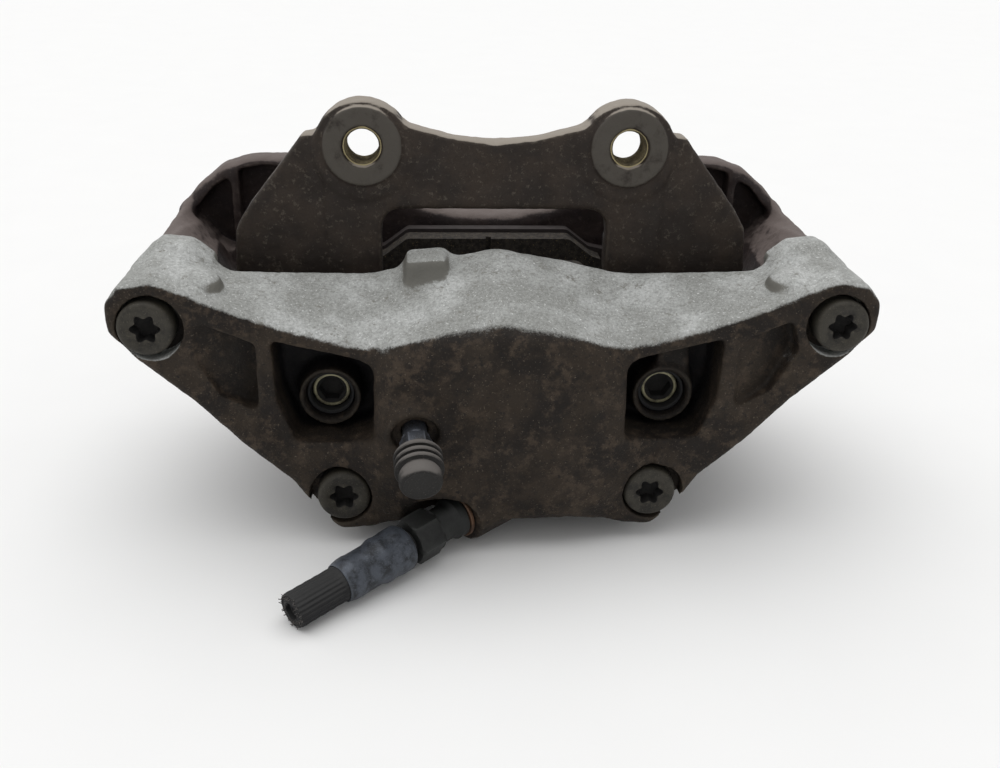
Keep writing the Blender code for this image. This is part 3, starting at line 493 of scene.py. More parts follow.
def make_frame(material):
    """The iron frame: a side along each flank, and an outboard wall with its windows and hollows."""
    lattice = Lattice((-141, -10, -142), (141, 80, -12), 1.0)
    wall_half = [
        (0, -44.5, 0), (14, -44, 8), (28, -41, 8), (50, -32.5, 10), (68, -23, 6), (78, -19, 6),
        (105, -19.2, 10), (118, -23.5, 10), (130, -33.5, 8), (137.5, -43, 6), (138.5, -56, 6),
        (129, -67, 6), (112, -87, 6), (95, -104.5, 6), (78, -119.5, 8), (67, -131, 8),
        (40, -137, 12), (0, -139, 0),
    ]
    solid = prism(lattice, mirrored(wall_half), WALL_INNER_Y, WALL_OUTER_Y, 6)
    for side, _ in SIDES:
        solid = join(solid, frame_side(lattice, side), 4)
    outer_hollow = [(114, -27.5, 3), (121, -31.5, 6), (131.5, -43.5, 4), (120.5, -57.5, 3), (114, -62, 3)]
    inner_hollow = [(74, -25, 5), (100, -22.5, 6), (110.3, -24.5, 3), (110.3, -60, 4), (74, -50, 4)]
    window = [(54.7, -51.8, 1.5), (82, -51, 6), (106, -66, 8)]
    window += disc_arc(FRAME_CLEAR_RADIUS, 102, 54.7)
    hole_depth = 64
    for side, _ in SIDES:
        for bolt in (UPPER_BOLT, LOWER_BOLT):
            seat_y = bolt_face_y(bolt)
            hole = round_y(lattice, side * bolt[0], bolt[1], BOLT_HOLE_RADIUS, seat_y, seat_y + hole_depth)
            solid = cut(solid, hole, 0.4)
        for corners in (outer_hollow, inner_hollow):
            hollow = prism(lattice, on_side(side, corners), WALL_INNER_Y - 3, WALL_INNER_Y + 8, 2)
            solid = cut(solid, hollow, 1.5)
        solid = cut(solid, prism(lattice, on_side(side, window), WALL_INNER_Y - 2, WALL_OUTER_Y + 2), 2.5)
    stands_for = ("caliper", "frame_iron", "caliper_frame")
    place_casting("frame_casting", lattice, solid, material, *stands_for, unevenness=0.8, size=6)


# ---------------------------------------------------------------- turned pieces

# Faces round a ring of a small turned piece, and of one as wide as the piston
TURN_STEPS = 72
WIDE_TURN_STEPS = 120


def hexagon(angle):
    return math.cos(math.pi / 6) / math.cos(angle % (math.pi / 3) - math.pi / 6)


def six_lobed(angle):
    return 0.86 + 0.14 * math.cos(6 * angle)


def ribbed(angle):
    return 0.975 + 0.025 * math.cos(24 * angle)


def crimped(angle):
    return 0.992 + 0.008 * abs(math.cos(4 * angle))


def turned_mesh(name, profile, point, direction, steps=TURN_STEPS):
    """(radius, height) pairs turned about an axis, with a shape for rings that aren't round."""
    turn = Vector(direction).to_track_quat("Z", "Y").to_matrix().to_4x4()
    place = Matrix.Translation(Vector(point)) @ turn
    vertices, rings, faces = [], [], []
    for radius, height, *shape in profile:
        count = steps if radius else 1
        rings.append(range(len(vertices), len(vertices) + count))
        for step in range(count):
            angle = 2 * math.pi * step / steps
            reach = radius * (shape[0](angle) if shape else 1)
            corner = place @ Vector((reach * math.cos(angle), reach * math.sin(angle), height))
            vertices.append(corner * MM)
    closed_ends = len(rings[0]) == 1 and len(rings[-1]) == 1
    pairs = list(zip(rings, rings[1:])) + ([] if closed_ends else [(rings[-1], rings[0])])
    for low, high in pairs:
        for step in range(steps):
            after = (step + 1) % steps
            if len(low) == 1:
                faces.append((low[0], high[after], high[step]))
            elif len(high) == 1:
                faces.append((low[step], low[after], high[0]))
            else:
                faces.append((low[step], low[after], high[after], high[step]))
    mesh = bpy.data.meshes.new(name)
    mesh.from_pydata(vertices, [], faces)
    mesh.validate()
    mesh.shade_smooth()
    mesh.set_sharp_from_angle(angle=math.radians(32))
    return mesh


def soil_socket(piece, material, rings):
    """Packs a socket with dirt: the first rings of a turned mesh take a second material."""
    piece.data.materials.append(material)
    for face in piece.data.polygons[: rings * TURN_STEPS]:
        face.material_index = 1


def along_y(x, z, y=0):
    """The point and direction of an axis along Y."""
    return (x, y, z), (0, 1, 0)


def make_frame_screws(material, dirt):
    """The four six-lobed screws. Their threads are plain ridges, not a helix."""
    face = -BOLT_HEAD_DEPTH
    shank, pitch = 5.7, 1.75
    head = [
        (0, face + 7.4), (2.6, face + 7.1, six_lobed), (5.5, face + 6.6, six_lobed),
        (5.6, face + 0.8, six_lobed), (6.4, face + 0.15), (6.9, face), (8.6, face),
        (9.2, face + 0.15), (9.9, face + 0.8), (10.25, face + 1.9), (BOLT_HEAD_RADIUS, -0.9),
        (10, -0.3), (6.4, -0.3), (shank, 0.8), (shank, 20),
    ]
    ridges = [(shank - 0.8 * (number % 2), 20.6 + pitch / 2 * number) for number in range(46)]
    profile = head + ridges + [(4.6, 61.4), (0, 62)]
    for bolt, level in ((UPPER_BOLT, "upper"), (LOWER_BOLT, "lower")):
        for side, label in SIDES:
            name = f"frame_screw_{level}_{label}"
            mesh = turned_mesh(name, profile, *along_y(side * bolt[0], bolt[1], bolt_face_y(bolt)))
            screw = place_piece(name, mesh, material, "caliper", "bolt_steel", f"frame_bolt_{level}_{label}")
            soil_socket(screw, dirt, rings=3)


def make_slide_pins(pin_material, sleeve_material, dirt):
    """The guide pins with their hexagon sockets, and the sleeves that slide on them."""
    pin = [
        (0, -22.4), (3, -22.8, hexagon), (5.1, -24, hexagon), (5.2, -28.6, hexagon), (5.8, -29.7),
        (6.0, -30), (6.6, -30), (7, -29.8), (7.3, -29.2), (7.3, -11), (7.0, -10.6), (7.0, -9.6),
        (7.3, -9.2), (7.3, 2.6), (7, 3.1), (4.2, 3.1), (4.2, 13), (3.6, 13.6), (0, 13.6),
    ]
    sleeve = [(7.7, -32.4), (8.1, -33), (8.9, -33), (9.2, -32.6)]
    for rib in range(4):
        start = -30.5 + 4.6 * rib
        sleeve += [(9.2, start), (8.6, start + 0.5), (8.6, start + 1.7), (9.2, start + 2.2)]
    sleeve += [(9.2, -10.5), (8.9, -10), (8, -10), (7.7, -10.4)]
    for side, label in SIDES:
        place = along_y(side * PIN_X, PIN_Z)
        pin_name, sleeve_name = f"slide_pin_{label}", f"pin_sleeve_{label}"
        pin_mesh = turned_mesh(pin_name, pin, *place)
        piece = place_piece(pin_name, pin_mesh, pin_material, "carrier", "zinc_steel", f"guide_pin_{label}")
        soil_socket(piece, dirt, rings=4)
        sleeve_mesh = turned_mesh(sleeve_name, sleeve, *place)
        place_piece(sleeve_name, sleeve_mesh, sleeve_material, "caliper", "rubber", f"guide_bush_{label}")


def make_lug_threads(material):
    """A helical thread cut in each lug, as a thin lining of its hole."""
    pitch, depth, first_y, last_y = 1.5, 0.7, 1.6, 14.6
    root_radius, lining_radius = 6.95, 7.6
    steps, rows = 64, 110
    angles = [2 * math.pi * step / steps for step in range(steps)]
    for side, label in SIDES:
        rings = []
        for row in range(rows + 1):
            y = first_y + (last_y - first_y) * row / rows
            ends = max(min(1, (y - first_y) / pitch, (last_y - y) / pitch), 0)
            turns = [(y / pitch + step / steps) % 1 for step in range(steps)]
            rings.append((y, [root_radius - depth * (1 - abs(2 * turn - 1)) * ends for turn in turns]))
        rings += [(y, [lining_radius] * steps) for y in (last_y, first_y)]
        vertices, faces = [], []
        for y, radii in rings:
            for radius, angle in zip(radii, angles):
                place = Vector((side * LUG_X + radius * math.cos(angle), y, radius * math.sin(angle)))
                vertices.append(place * MM)
        for row in range(len(rings)):
            for step in range(steps):
                after = (step + 1) % steps
                low, high = row * steps, (row + 1) % len(rings) * steps
                faces.append((low + step, low + after, high + after, high + step))
        mesh = bpy.data.meshes.new(f"lug_thread_{label}")
        mesh.from_pydata(vertices, [], faces)
        mesh.validate()
        mesh.shade_smooth()
        mesh.set_sharp_from_angle(angle=math.radians(40))
        place_piece(f"lug_thread_{label}", mesh, material, "carrier", "carrier_iron")


def make_piston(steel, rubber):
    """The cup-shaped piston, its square seal ring and the dust boot round its mouth."""
    place = along_y(0, PISTON_Z)
    outer = BORE_RADIUS - 0.3
    cup = [
        (0, -32.5), (outer - 2, -32.5), (outer - 0.6, -32), (outer, -30.8), (outer, -6.8),
        (outer - 1.2, -6.4), (outer - 1.4, -6), (outer - 1.4, -4.4), (outer - 1.2, -4.1),
        (outer, -3.8), (outer, -2.5), (outer - 0.6, -2), (outer - 5.4, -2), (outer - 6, -2.6),
        (outer - 6, -12), (outer - 5.4, -12.6), (outer - 5.4, -14.4), (outer - 6, -15),
        (outer - 6, -23.5), (outer - 7.5, -25), (0, -25),
    ]
    cup_mesh = turned_mesh("piston_cup", cup, *place, steps=WIDE_TURN_STEPS)
    place_piece("piston_cup", cup_mesh, steel, "piston_and_pad", "piston_steel", "piston")
    seal = [(BORE_RADIUS + 0.2, -19.4), (BORE_RADIUS + 0.5, -19.6), (BORE_RADIUS + 3, -19.6)]
    seal += [(BORE_RADIUS + 3, -16.4), (BORE_RADIUS + 0.5, -16.4), (BORE_RADIUS + 0.2, -16.6)]
    seal_mesh = turned_mesh("seal_ring", seal, *place, steps=WIDE_TURN_STEPS)
    place_piece("seal_ring", seal_mesh, rubber, "caliper", "rubber", "piston_seal")
    boot = [
        (31.9, -8.6), (34.3, -8.6), (34.5, -8.3), (34.5, -6.4), (34.1, -5.6), (33.2, -4.9),
        (33.1, -4.4), (33.9, -3.7), (34.4, -3), (34.2, -2.6), (33.4, -2.4), (31.4, -2.8),
        (30.6, -3.3), (30.6, -4.1), (31.3, -4.6), (31.9, -5.4), (31.9, -6.6),
    ]
    boot_mesh = turned_mesh("dust_boot", boot, *place, steps=WIDE_TURN_STEPS)
    place_piece("dust_boot", boot_mesh, rubber, "caliper", "rubber", "piston_dust_boot")


def make_bleed_screw(steel, cap_rubber):
    """The bleed screw, and the ribbed rubber cap over its nipple."""
    screw = [
        (0, -9.5), (1.6, -9.5), (4.6, -6.5), (4.6, 3.9), (5.4, 4.3), (5.9, 4.8, hexagon),
        (6.1, 5.3, hexagon), (6.1, 9.7, hexagon), (5.9, 10.2, hexagon), (5.3, 10.6), (4.1, 11),
        (3.2, 12.4), (3.2, 21), (3.8, 22), (3.1, 24.3), (0, 24.3),
    ]
    mesh = turned_mesh("bleed_nipple", screw, BLEED_SEAT, BLEED_DIRECTION)
    place_piece("bleed_nipple", mesh, steel, "bleed_screw", "bolt_steel", "bleed_screw")
    cap = [(0, 25.2), (3.6, 25.2), (4.3, 24.6), (4.3, 12.7), (4.6, 12.2), (8, 12.2), (8.5, 12.5)]
    for rib in range(3):
        start = 12.9 + rib * 3.1
        cap += [(8.7, start), (9.0, start + 0.4), (9.0, start + 1.3), (8.7, start + 1.7)]
        cap += [(7.5, start + 2), (7.2, start + 2.3), (7.4, start + 2.7)]
    cap += [(7.6, 22.3), (7.85, 22.9), (7.85, 26), (7.5, 27), (6.9, 27.5)]
    cap += [(6.3, 27.6), (5.8, 27.3), (0, 27.3)]
    mesh = turned_mesh("dust_cap", cap, BLEED_SEAT, BLEED_DIRECTION)
    place_piece("dust_cap", mesh, cap_rubber, "bleed_cap", "cap_rubber", "bleed_cap")


def make_hose(copper, fitting_steel, ferrule_steel, rubber, fibre):
    """The cut-off hose: washer, fitting, crimped ferrule, ribbed rubber and frayed braid."""
    def hose_piece(name, profile, material, slot, node, steps=TURN_STEPS):
        mesh = turned_mesh(name, profile, HOSE_SEAT, HOSE_DIRECTION, steps)
        place_piece(name, mesh, material, "caliper", slot, node)

    washer = [(5.8, 0.4), (6.1, 0.3), (8.9, 0.3), (9.2, 0.6), (9.2, 1.5), (8.9, 1.8), (6.1, 1.8), (5.8, 1.7)]
    hose_piece("copper_washer", washer, copper, "copper", "hose_washer")
    fitting = [
        (0, -10), (4.6, -10), (5, -9.5), (5, 2.1), (8.2, 2.1), (8.4, 2.4), (8.4, 5.7), (8.1, 6.1),
        (7.2, 7.2), (7, 8), (7, 14.2), (8.3, 14.6), (9.3, 15.2, hexagon), (9.6, 15.8, hexagon),
        (9.6, 25, hexagon), (9.3, 25.6, hexagon), (8.3, 26.2), (5.4, 26.6), (5, 27.4), (5, 32.4),
        (0, 32.4),
    ]
    hose_piece("hose_end", fitting, fitting_steel, "fitting_steel", "hose_fitting")
    ferrule = [
        (5.4, 28.8), (8.2, 28.8), (8.9, 29.5), (9.2, 30.4), (9.2, 35), (8.9, 37, crimped),
        (8.9, 39, crimped), (9.1, 40.4), (9.0, 41.6), (8.5, 43), (8.2, 44.2, crimped),
        (8.1, 52, crimped), (8.3, 53.4), (8.2, 55.4), (7.8, 57.6), (7.4, 58.8), (7.1, 59),
        (7.1, 32.8), (5.4, 32.8),
    ]
    hose_piece("crimp_sleeve", ferrule, ferrule_steel, "fitting_steel", "hose_ferrule")
    outer = 6.8
    stub = [(3.2, 33.4), (outer, 33.4), (outer, 60), (outer, 61, ribbed)]
    stub += [(outer - 0.12 * (number % 2), 62 + 1.9 * number, ribbed) for number in range(9)]
    stub += [(6.7, 79, ribbed), (6.3, 79.6), (5.2, 79.4), (4, 79.7), (3.3, 79.9)]
    hose_piece("hose_rubber", stub, rubber, "rubber", "hose_stub", steps=192)
    core = [(1.6, 33), (2.9, 33), (2.9, 78.2), (2.7, 78.5), (1.8, 78.5), (1.6, 78.3)]
    hose_piece("hose_core", core, rubber, "rubber", "hose_liner")
    make_fray(fibre)


def make_fray(material):
    """The braid's cut ends, a ring of short bent fibres round the hose's mouth."""
    random = np.random.default_rng(7)
    fibres, segments, root_height = 84, 4, 78.9
    curve = bpy.data.curves.new("braid_fray", "CURVE")
    curve.dimensions = "3D"
    curve.bevel_depth = 0.16 * MM
    curve.bevel_resolution = 1
    curve.use_fill_caps = True
    turn = HOSE_DIRECTION.to_track_quat("Z", "Y").to_matrix()
    for fibre in range(fibres):
        angle = 2 * math.pi * (fibre + random.uniform(-0.4, 0.4)) / fibres
        reach = random.uniform(3.5, 6.2)
        lean = random.uniform(-0.6, 0.9)
        twist = random.uniform(-0.25, 0.25)
        length = random.uniform(0.5, 1.9)
        spline = curve.splines.new("POLY")
        spline.points.add(segments)
        for index, point in enumerate(spline.points):
            share = index / segments
            out = reach + lean * share * share * 1.4
            around = angle + twist * share
            height = root_height + length * share
            place = turn @ Vector((out * math.cos(around), out * math.sin(around), height)) + HOSE_SEAT
            point.co = (*(place * MM), 1)
    place_piece("braid_fray", curve, material, "caliper", "rubber")


# ---------------------------------------------------------------- materials


def set_inputs(node, values):
    for name, value in values.items():
        node.inputs[name].default_value = value


class Finish:
    """A material's nodes, reached by short calls."""

    def __init__(self, name, roughness, specular, metallic=0.0):
        self.material = bpy.data.materials.new(name)
        self.material.use_nodes = True
        self.nodes = self.material.node_tree.nodes
        self.links = self.material.node_tree.links
        self.shader = self.nodes["Principled BSDF"]
        set_inputs(self.shader, {"Roughness": roughness, "Metallic": metallic, "Specular IOR Level": specular})
        self.place = self.nodes.new("ShaderNodeTexCoord").outputs["Object"]
        self.geometry = self.nodes.new("ShaderNodeNewGeometry")

    def feed(self, socket, value):
        if isinstance(value, bpy.types.NodeSocket):
            self.links.new(value, socket)
        elif isinstance(value, tuple):
            socket.default_value = (*value, 1)
        else:
            socket.default_value = value

    def noise(self, size, detail, roughness):
        """Noise whose features are about that many millimetres across."""
        noise = self.nodes.new("ShaderNodeTexNoise")
        set_inputs(noise, {"Scale": 1 / (size * MM), "Detail": detail, "Roughness": roughness})
        self.links.new(self.place, noise.inputs["Vector"])
        return noise.outputs["Fac"]

    def pits(self, size):
        """Cells that many millimetres across, deepest at their middles."""
        cells = self.nodes.new("ShaderNodeTexVoronoi")
        set_inputs(cells, {"Scale": 1 / (size * MM)})
        self.links.new(self.place, cells.inputs["Vector"])
        return cells.outputs["Distance"]

    def window(self, value, low, high):
        """0 below low, 1 above high, and smooth between."""
        window = self.nodes.new("ShaderNodeMapRange")
        window.interpolation_type = "SMOOTHSTEP"
        self.links.new(value, window.inputs["Value"])
        set_inputs(window, {"From Min": low, "From Max": high})
        return window.outputs["Result"]

    def spread(self, value, low, high):
        """A share from 0 to 1 turned into a value from low to high."""
        spread = self.nodes.new("ShaderNodeMapRange")
        self.links.new(value, spread.inputs["Value"])
        set_inputs(spread, {"To Min": low, "To Max": high})
        return spread.outputs["Result"]

    def math(self, operation, first, second):
        node = self.nodes.new("ShaderNodeMath")
        node.operation = operation
        self.feed(node.inputs[0], first)
        self.feed(node.inputs[1], second)
        return node.outputs[0]

    def times(self, value, factor):
        return self.math("MULTIPLY", value, factor)

    def mix(self, share, first, second):
        mix = self.nodes.new("ShaderNodeMix")
        mix.data_type = "RGBA"
        self.feed(mix.inputs["Factor"], share)
        self.feed(mix.inputs["A"], first)
        self.feed(mix.inputs["B"], second)
        return mix.outputs["Result"]

    def along(self, vector, axis):
        parts = self.nodes.new("ShaderNodeSeparateXYZ")
        self.links.new(vector, parts.inputs["Vector"])
        return parts.outputs[axis]

    def facing(self, axis, low, high):
        """How far the surface faces an axis, from 0 to 1 between two cosines."""
        return self.window(self.along(self.geometry.outputs["Normal"], axis), low, high)

    def beyond(self, axis, low, high):
        """How far the surface lies along an axis, from 0 to 1 between two places in millimetres."""
        return self.window(self.along(self.place, axis), low * MM, high * MM)

    def edges(self, low=0.52, high=0.60):
        """1 along outer corners of a finely divided mesh."""
        return self.window(self.geometry.outputs["Pointiness"], low, high)

    def hollows(self):
        """1 in inner corners of a finely divided mesh."""
        return self.math("SUBTRACT", 1.0, self.window(self.geometry.outputs["Pointiness"], 0.40, 0.49))

    def done(self, colour, heights=(), roughness=None):
        """Sets the colour and stacks bumps, each a (height, millimetres, strength)."""
        self.feed(self.shader.inputs["Base Color"], colour)
        if roughness is not None:
            self.feed(self.shader.inputs["Roughness"], roughness)
        normal = None
        for height, distance, strength in heights:
            bump = self.nodes.new("ShaderNodeBump")
            set_inputs(bump, {"Distance": distance * MM, "Strength": strength})
            self.links.new(height, bump.inputs["Height"])
            if normal:
                self.links.new(normal, bump.inputs["Normal"])
            normal = bump.outputs["Normal"]
        if normal:
            self.links.new(normal, self.shader.inputs["Normal"])
        return self.material


def aluminium_finish():
    """Bare cast aluminium on top, and brown-black brake grime everywhere else, darker than grime alone as
    painted shade on faces that don't turn up. Painted shade also darkens the recesses, and outer edges are
    lighter with wear and painted highlights.
    """
    finish = Finish("cast_aluminium", roughness=0.7, specular=0.22)
    blotches = finish.noise(22, 5, 0.65)
    grain = finish.noise(1.1, 5, 0.75)
    specks = finish.noise(0.9, 3, 0.8)
    bare = finish.mix(finish.window(blotches, 0.38, 0.66), (0.33, 0.335, 0.32), (0.53, 0.54, 0.53))
    bare = finish.mix(finish.window(grain, 0.35, 0.62), finish.mix(0.45, bare, (0.10, 0.10, 0.09)), bare)
    bare = finish.mix(finish.window(specks, 0.60, 0.68), bare, (0.72, 0.73, 0.72))
    bare = finish.mix(finish.window(finish.noise(4, 5, 0.75), 0.56, 0.70), bare, (0.20, 0.195, 0.175))
    # brown-black brake grime, its colours darker than grime alone as painted shade for the faces that don't
    # turn up
    grime = finish.mix(finish.window(blotches, 0.40, 0.60), (0.012, 0.0088, 0.0068), (0.029, 0.021, 0.0145))
    grime = finish.mix(finish.window(finish.noise(6, 5, 0.7), 0.48, 0.66), grime, (0.050, 0.036, 0.025))
    grime = finish.mix(finish.window(finish.noise(2.2, 5, 0.8), 0.52, 0.68), grime, (0.011, 0.009, 0.008))
    grime = finish.mix(finish.window(specks, 0.60, 0.73), grime, (0.13, 0.105, 0.080))
    # lighter along outer edges: worn metal and painted highlights
    grime = finish.mix(finish.times(finish.edges(), 0.45), grime, (0.17, 0.145, 0.11))
    grime = finish.mix(finish.times(finish.hollows(), 0.6), grime, (0.009, 0.008, 0.008))
    # painted shade: everything set back behind Y = -45 to -41 mm a little darker, as under the pockets'
    # overhangs, and everything behind Y = -36.4 to -30 mm, deep in the bore and recesses, much darker
    pockets = finish.times(finish.beyond("Y", -45, -41), 0.4)
    deep_recess_shade = finish.times(finish.beyond("Y", -36.4, -30), 0.8)
    grime = finish.mix(pockets, grime, (0.009, 0.008, 0.007))
    grime = finish.mix(deep_recess_shade, grime, (0.007, 0.007, 0.009))
    torn = finish.times(finish.noise(1.0, 6, 0.85), 1.3)
    ragged = finish.math("ADD", finish.facing("Z", 0.30, 0.92), torn)
    behind_rim = finish.math("SUBTRACT", finish.beyond("Y", -54.5, -49), 1.0)
    ragged = finish.math("ADD", ragged, finish.times(behind_rim, 0.7))
    # bare metal where the surface turns up; elsewhere the grime colour, which also carries painted shade
    top = finish.times(finish.window(ragged, 0.82, 1.38), finish.beyond("Z", -75, -66))
    rubbed = finish.times(finish.beyond("Y", -43, -38), finish.beyond("Z", -55, -47))
    grime = finish.mix(finish.times(rubbed, 0.8), grime, (0.19, 0.185, 0.165))
    colour = finish.mix(top, grime, bare)
    heights = (
        (finish.noise(6, 3, 0.5), 0.6, 0.45),
        (finish.noise(2.2, 4, 0.7), 0.35, 0.5),
        (grain, 0.25, 0.8),
        (finish.pits(0.9), 0.12, 0.5),
    )
    return finish.done(colour, heights, finish.spread(finish.noise(9, 3, 0.5), 0.52, 0.82))


def iron_finish(name, dark, warm, dusty, edge_wear_and_highlight, grain_size, dust_from, machined=None):
    """Greasy or rusty cast iron, dusty where it faces up and lighter along its corners with worn edges and
    painted highlights.
    """
    finish = Finish(name, roughness=0.7, specular=0.28)
    patches = finish.noise(14, 5, 0.65)
    grain = finish.noise(grain_size, 5, 0.7)
    colour = finish.mix(finish.window(patches, 0.40, 0.64), dark, warm)
    scabs = finish.noise(2.4, 6, 0.8)
    colour = finish.mix(finish.times(finish.window(scabs, 0.54, 0.66), 0.30), colour, edge_wear_and_highlight)
    stains = finish.window(finish.noise(3.5, 5, 0.8), 0.52, 0.66)
    colour = finish.mix(finish.times(stains, 0.7), colour, dark)
    darker = finish.mix(0.5, colour, dark)
    colour = finish.mix(finish.times(finish.window(grain, 0.30, 0.55), 0.5), darker, colour)
    settled = finish.times(finish.noise(2.2, 6, 0.75), 0.8)
    dust = finish.math("ADD", finish.facing("Z", dust_from, 0.95), settled)
    colour = finish.mix(finish.window(dust, 0.62, 1.15), colour, dusty)
    # lighter along outer corners: worn edges and painted highlights
    colour = finish.mix(finish.times(finish.edges(), 0.8), colour, edge_wear_and_highlight)
    packed_dirt = tuple(part * 0.4 for part in dark)
    colour = finish.mix(finish.times(finish.hollows(), 0.6), colour, packed_dirt)
    if machined:
        # swapped bounds: 1 on the lugs' faces, in front of Y = 0.3
        rubbed = finish.times(finish.beyond("Y", 0.9, 0.3), finish.window(patches, 0.30, 0.50))
        colour = finish.mix(rubbed, colour, machined)
    heights = (
        (finish.noise(5, 4, 0.6), 0.6, 0.5),
        (scabs, 0.3, 0.5),
        (grain, 0.25, 0.8),
        (finish.pits(grain_size * 1.4), 0.15, 0.35),
    )
    return finish.done(colour, heights, finish.spread(finish.noise(6, 3, 0.6), 0.45, 0.85))


def steel_finish(name, base, dirt, light, metallic, roughness):
    """Plated or oiled steel with dirt in patches, brighter rubbed spots, and lighter edges of rubbed wear and
    painted highlights.
    """
    finish = Finish(name, roughness=roughness, metallic=metallic, specular=0.5)
    patches = finish.noise(5, 5, 0.65)
    fine = finish.noise(0.5, 4, 0.7)
    colour = finish.mix(finish.window(patches, 0.42, 0.66), base, dirt)
    colour = finish.mix(finish.times(finish.window(fine, 0.56, 0.72), 0.6), colour, light)
    # lighter along outer edges: rubbed wear and painted highlights
    colour = finish.mix(finish.times(finish.edges(0.53, 0.62), 0.7), colour, light)
    heights = ((patches, 0.15, 0.3), (fine, 0.08, 0.5))
    return finish.done(colour, heights, finish.spread(patches, roughness - 0.12, roughness + 0.25))


def rubber_finish(name, base, dusty):
    """Matt rubber with settled dust and fine pitting."""
    finish = Finish(name, roughness=0.7, specular=0.35)
    patches = finish.noise(4, 5, 0.7)
    fine = finish.noise(0.7, 4, 0.7)
    dust = finish.math("ADD", finish.facing("Z", 0.0, 0.9), patches)
    colour = finish.mix(finish.window(dust, 0.55, 1.35), base, dusty)
    colour = finish.mix(finish.times(finish.window(fine, 0.55, 0.75), 0.5), colour, dusty)
    return finish.done(colour, ((fine, 0.12, 0.45), (patches, 0.2, 0.3)), finish.spread(fine, 0.5, 0.9))


def friction_finish():
    """Pressed friction material, dark with metal flecks."""
    finish = Finish("friction_lining", roughness=0.9, specular=0.2)
    flecks = finish.noise(0.6, 2, 0.5)
    patches = finish.window(finish.noise(2.5, 5, 0.7), 0.40, 0.62)
    colour = finish.mix(patches, (0.024, 0.021, 0.019), (0.052, 0.045, 0.038))
    colour = finish.mix(finish.window(flecks, 0.66, 0.72), colour, (0.20, 0.15, 0.08))
    return finish.done(colour, ((finish.noise(1.4, 4, 0.7), 0.4, 0.6), (flecks, 0.1, 0.4)), 0.85)


# ---------------------------------------------------------------- pads, stage and light


def dress_node(name, material, bevel=0.4):
    """Gives a CAD node that is shown as it is a finish and soft corners."""
    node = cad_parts[name]
    node.data.materials.clear()
    node.data.materials.append(material)
    soft = node.modifiers.new("soft_corners", "BEVEL")
    soft.width = bevel * MM
    soft.segments = 2
    soft.limit_method = "ANGLE"
    soft.angle_limit = math.radians(35)


def make_stage():
    """A pale floor, and soft light from above."""
    scene = bpy.context.scene
    scene.view_settings.view_transform = "Standard"
    floor_z = CAD_BOX[0][2] - 0.0003
    half = 6.0
    floor_mesh = bpy.data.meshes.new("floor")
    corners = [(x * half, y * half, floor_z) for x, y in ((-1, -1), (1, -1), (1, 1), (-1, 1))]
    floor_mesh.from_pydata(corners, [], [(0, 1, 2, 3)])
    floor = add_object("floor", floor_mesh)
    floor_finish = Finish("floor_paper", roughness=0.95, specular=0.1)
    tint = floor_finish.mix(floor_finish.noise(40, 2, 0.5), (0.86, 0.86, 0.855), (0.88, 0.88, 0.875))
    floor_mesh.materials.append(floor_finish.done(tint))
    world = bpy.data.worlds.new("studio")
    world.use_nodes = True
    set_inputs(world.node_tree.nodes["Background"], {"Color": (1, 1, 1, 1), "Strength": 0.60})
    scene.world = world
    sun = bpy.data.lights.new("overhead", "SUN")
    sun.energy = 1.7
    sun.angle = math.radians(80)
    sun_object = add_object("overhead", sun)
    sun_object.rotation_euler = (math.radians(-12), math.radians(-8), 0)


def make_camera():
    """The photographer's place: in front of the cylinder, above it and looking down."""
    camera = bpy.data.cameras.new("camera")
    camera.sensor_width = 36
    camera.lens = 37.44
    camera_object = add_object("camera", camera)
    camera_object.location = (-0.0267, -0.3992, 0.0904)
    camera_object.rotation_euler = [math.radians(turn) for turn in (64.5, -1.3, -3.69)]
    bpy.context.scene.camera = camera_object
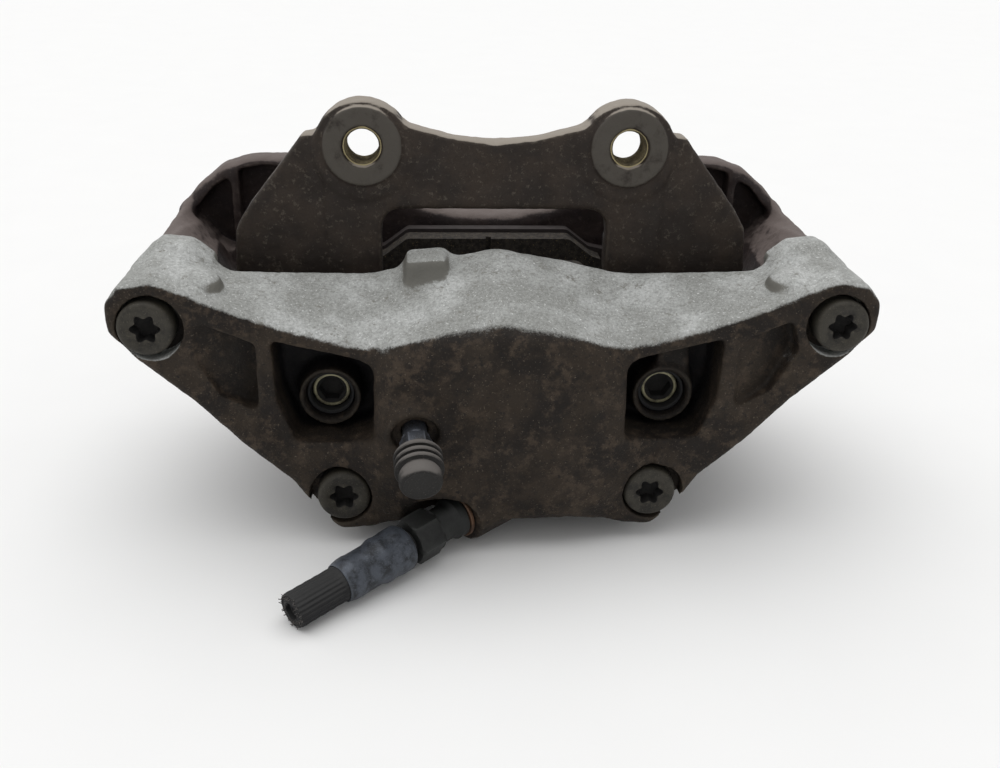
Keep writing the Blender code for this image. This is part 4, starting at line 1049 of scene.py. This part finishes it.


# Colours of the base, the dirt, and the rubbed spots and painted edge highlights, then how metallic and how
# rough
STEELS = {
    "bolt_steel": ((0.030, 0.026, 0.018), (0.014, 0.012, 0.009), (0.16, 0.145, 0.105), 0.15, 0.6),
    "socket_dirt": ((0.012, 0.011, 0.010), (0.007, 0.007, 0.007), (0.045, 0.040, 0.034), 0.0, 0.8),
    "zinc_plate": ((0.24, 0.225, 0.14), (0.06, 0.052, 0.035), (0.62, 0.58, 0.40), 0.6, 0.4),
    "thread_steel": ((0.17, 0.14, 0.08), (0.07, 0.055, 0.035), (0.45, 0.38, 0.20), 0.6, 0.45),
    "piston_steel": ((0.33, 0.32, 0.29), (0.14, 0.12, 0.10), (0.55, 0.54, 0.50), 0.85, 0.35),
    "nipple_steel": ((0.055, 0.060, 0.072), (0.030, 0.028, 0.028), (0.22, 0.24, 0.28), 0.5, 0.45),
    "fitting_steel": ((0.008, 0.009, 0.008), (0.006, 0.006, 0.006), (0.035, 0.038, 0.035), 0.1, 0.55),
    "ferrule_steel": ((0.066, 0.075, 0.092), (0.022, 0.024, 0.028), (0.16, 0.18, 0.21), 0.4, 0.42),
    "plate_steel": ((0.024, 0.018, 0.018), (0.014, 0.012, 0.011), (0.040, 0.030, 0.028), 0.1, 0.75),
    "shim_steel": ((0.026, 0.021, 0.020), (0.016, 0.014, 0.013), (0.048, 0.040, 0.036), 0.2, 0.65),
    "copper": ((0.10, 0.055, 0.032), (0.032, 0.022, 0.018), (0.24, 0.14, 0.085), 0.5, 0.5),
}


def main():
    make_camera()
    make_stage()
    carrier_iron = iron_finish(
        "greasy_iron",
        dark=(0.020, 0.0145, 0.0115),
        warm=(0.042, 0.030, 0.022),
        dusty=(0.29, 0.255, 0.215),
        edge_wear_and_highlight=(0.27, 0.235, 0.185),
        grain_size=0.8,
        dust_from=0.45,
        machined=(0.070, 0.062, 0.052),
    )
    rusty_iron = iron_finish(
        "rusty_iron",
        dark=(0.018, 0.012, 0.012),
        warm=(0.034, 0.022, 0.019),
        dusty=(0.130, 0.104, 0.095),
        edge_wear_and_highlight=(0.17, 0.135, 0.12),
        grain_size=1.1,
        dust_from=0.25,
    )
    aluminium = aluminium_finish()
    steel = {name: steel_finish(name, *look) for name, look in STEELS.items()}
    rubber = rubber_finish("black_rubber", (0.008, 0.008, 0.009), (0.024, 0.024, 0.024))
    cap_rubber = rubber_finish("cap_rubber", (0.012, 0.011, 0.010), (0.120, 0.110, 0.102))
    fibre = rubber_finish("braid_fibre", (0.03, 0.029, 0.027), (0.11, 0.10, 0.095))
    make_housing(aluminium)
    make_carrier(carrier_iron)
    make_frame(rusty_iron)
    make_lug_threads(steel["thread_steel"])
    make_frame_screws(steel["bolt_steel"], steel["socket_dirt"])
    make_slide_pins(steel["zinc_plate"], rubber, steel["socket_dirt"])
    make_piston(steel["piston_steel"], rubber)
    make_bleed_screw(steel["nipple_steel"], cap_rubber)
    make_hose(steel["copper"], steel["fitting_steel"], steel["ferrule_steel"], rubber, fibre)
    lining = friction_finish()
    for pad in ("inner_pad", "outer_pad"):
        dress_node(f"{pad}_plate", steel["plate_steel"], 0.6)
        dress_node(f"{pad}_lining", lining)
    dress_node("outer_pad_shim", steel["shim_steel"], 0.15)
    dress_node("inner_pad_clip", steel["piston_steel"], 0.2)


main()
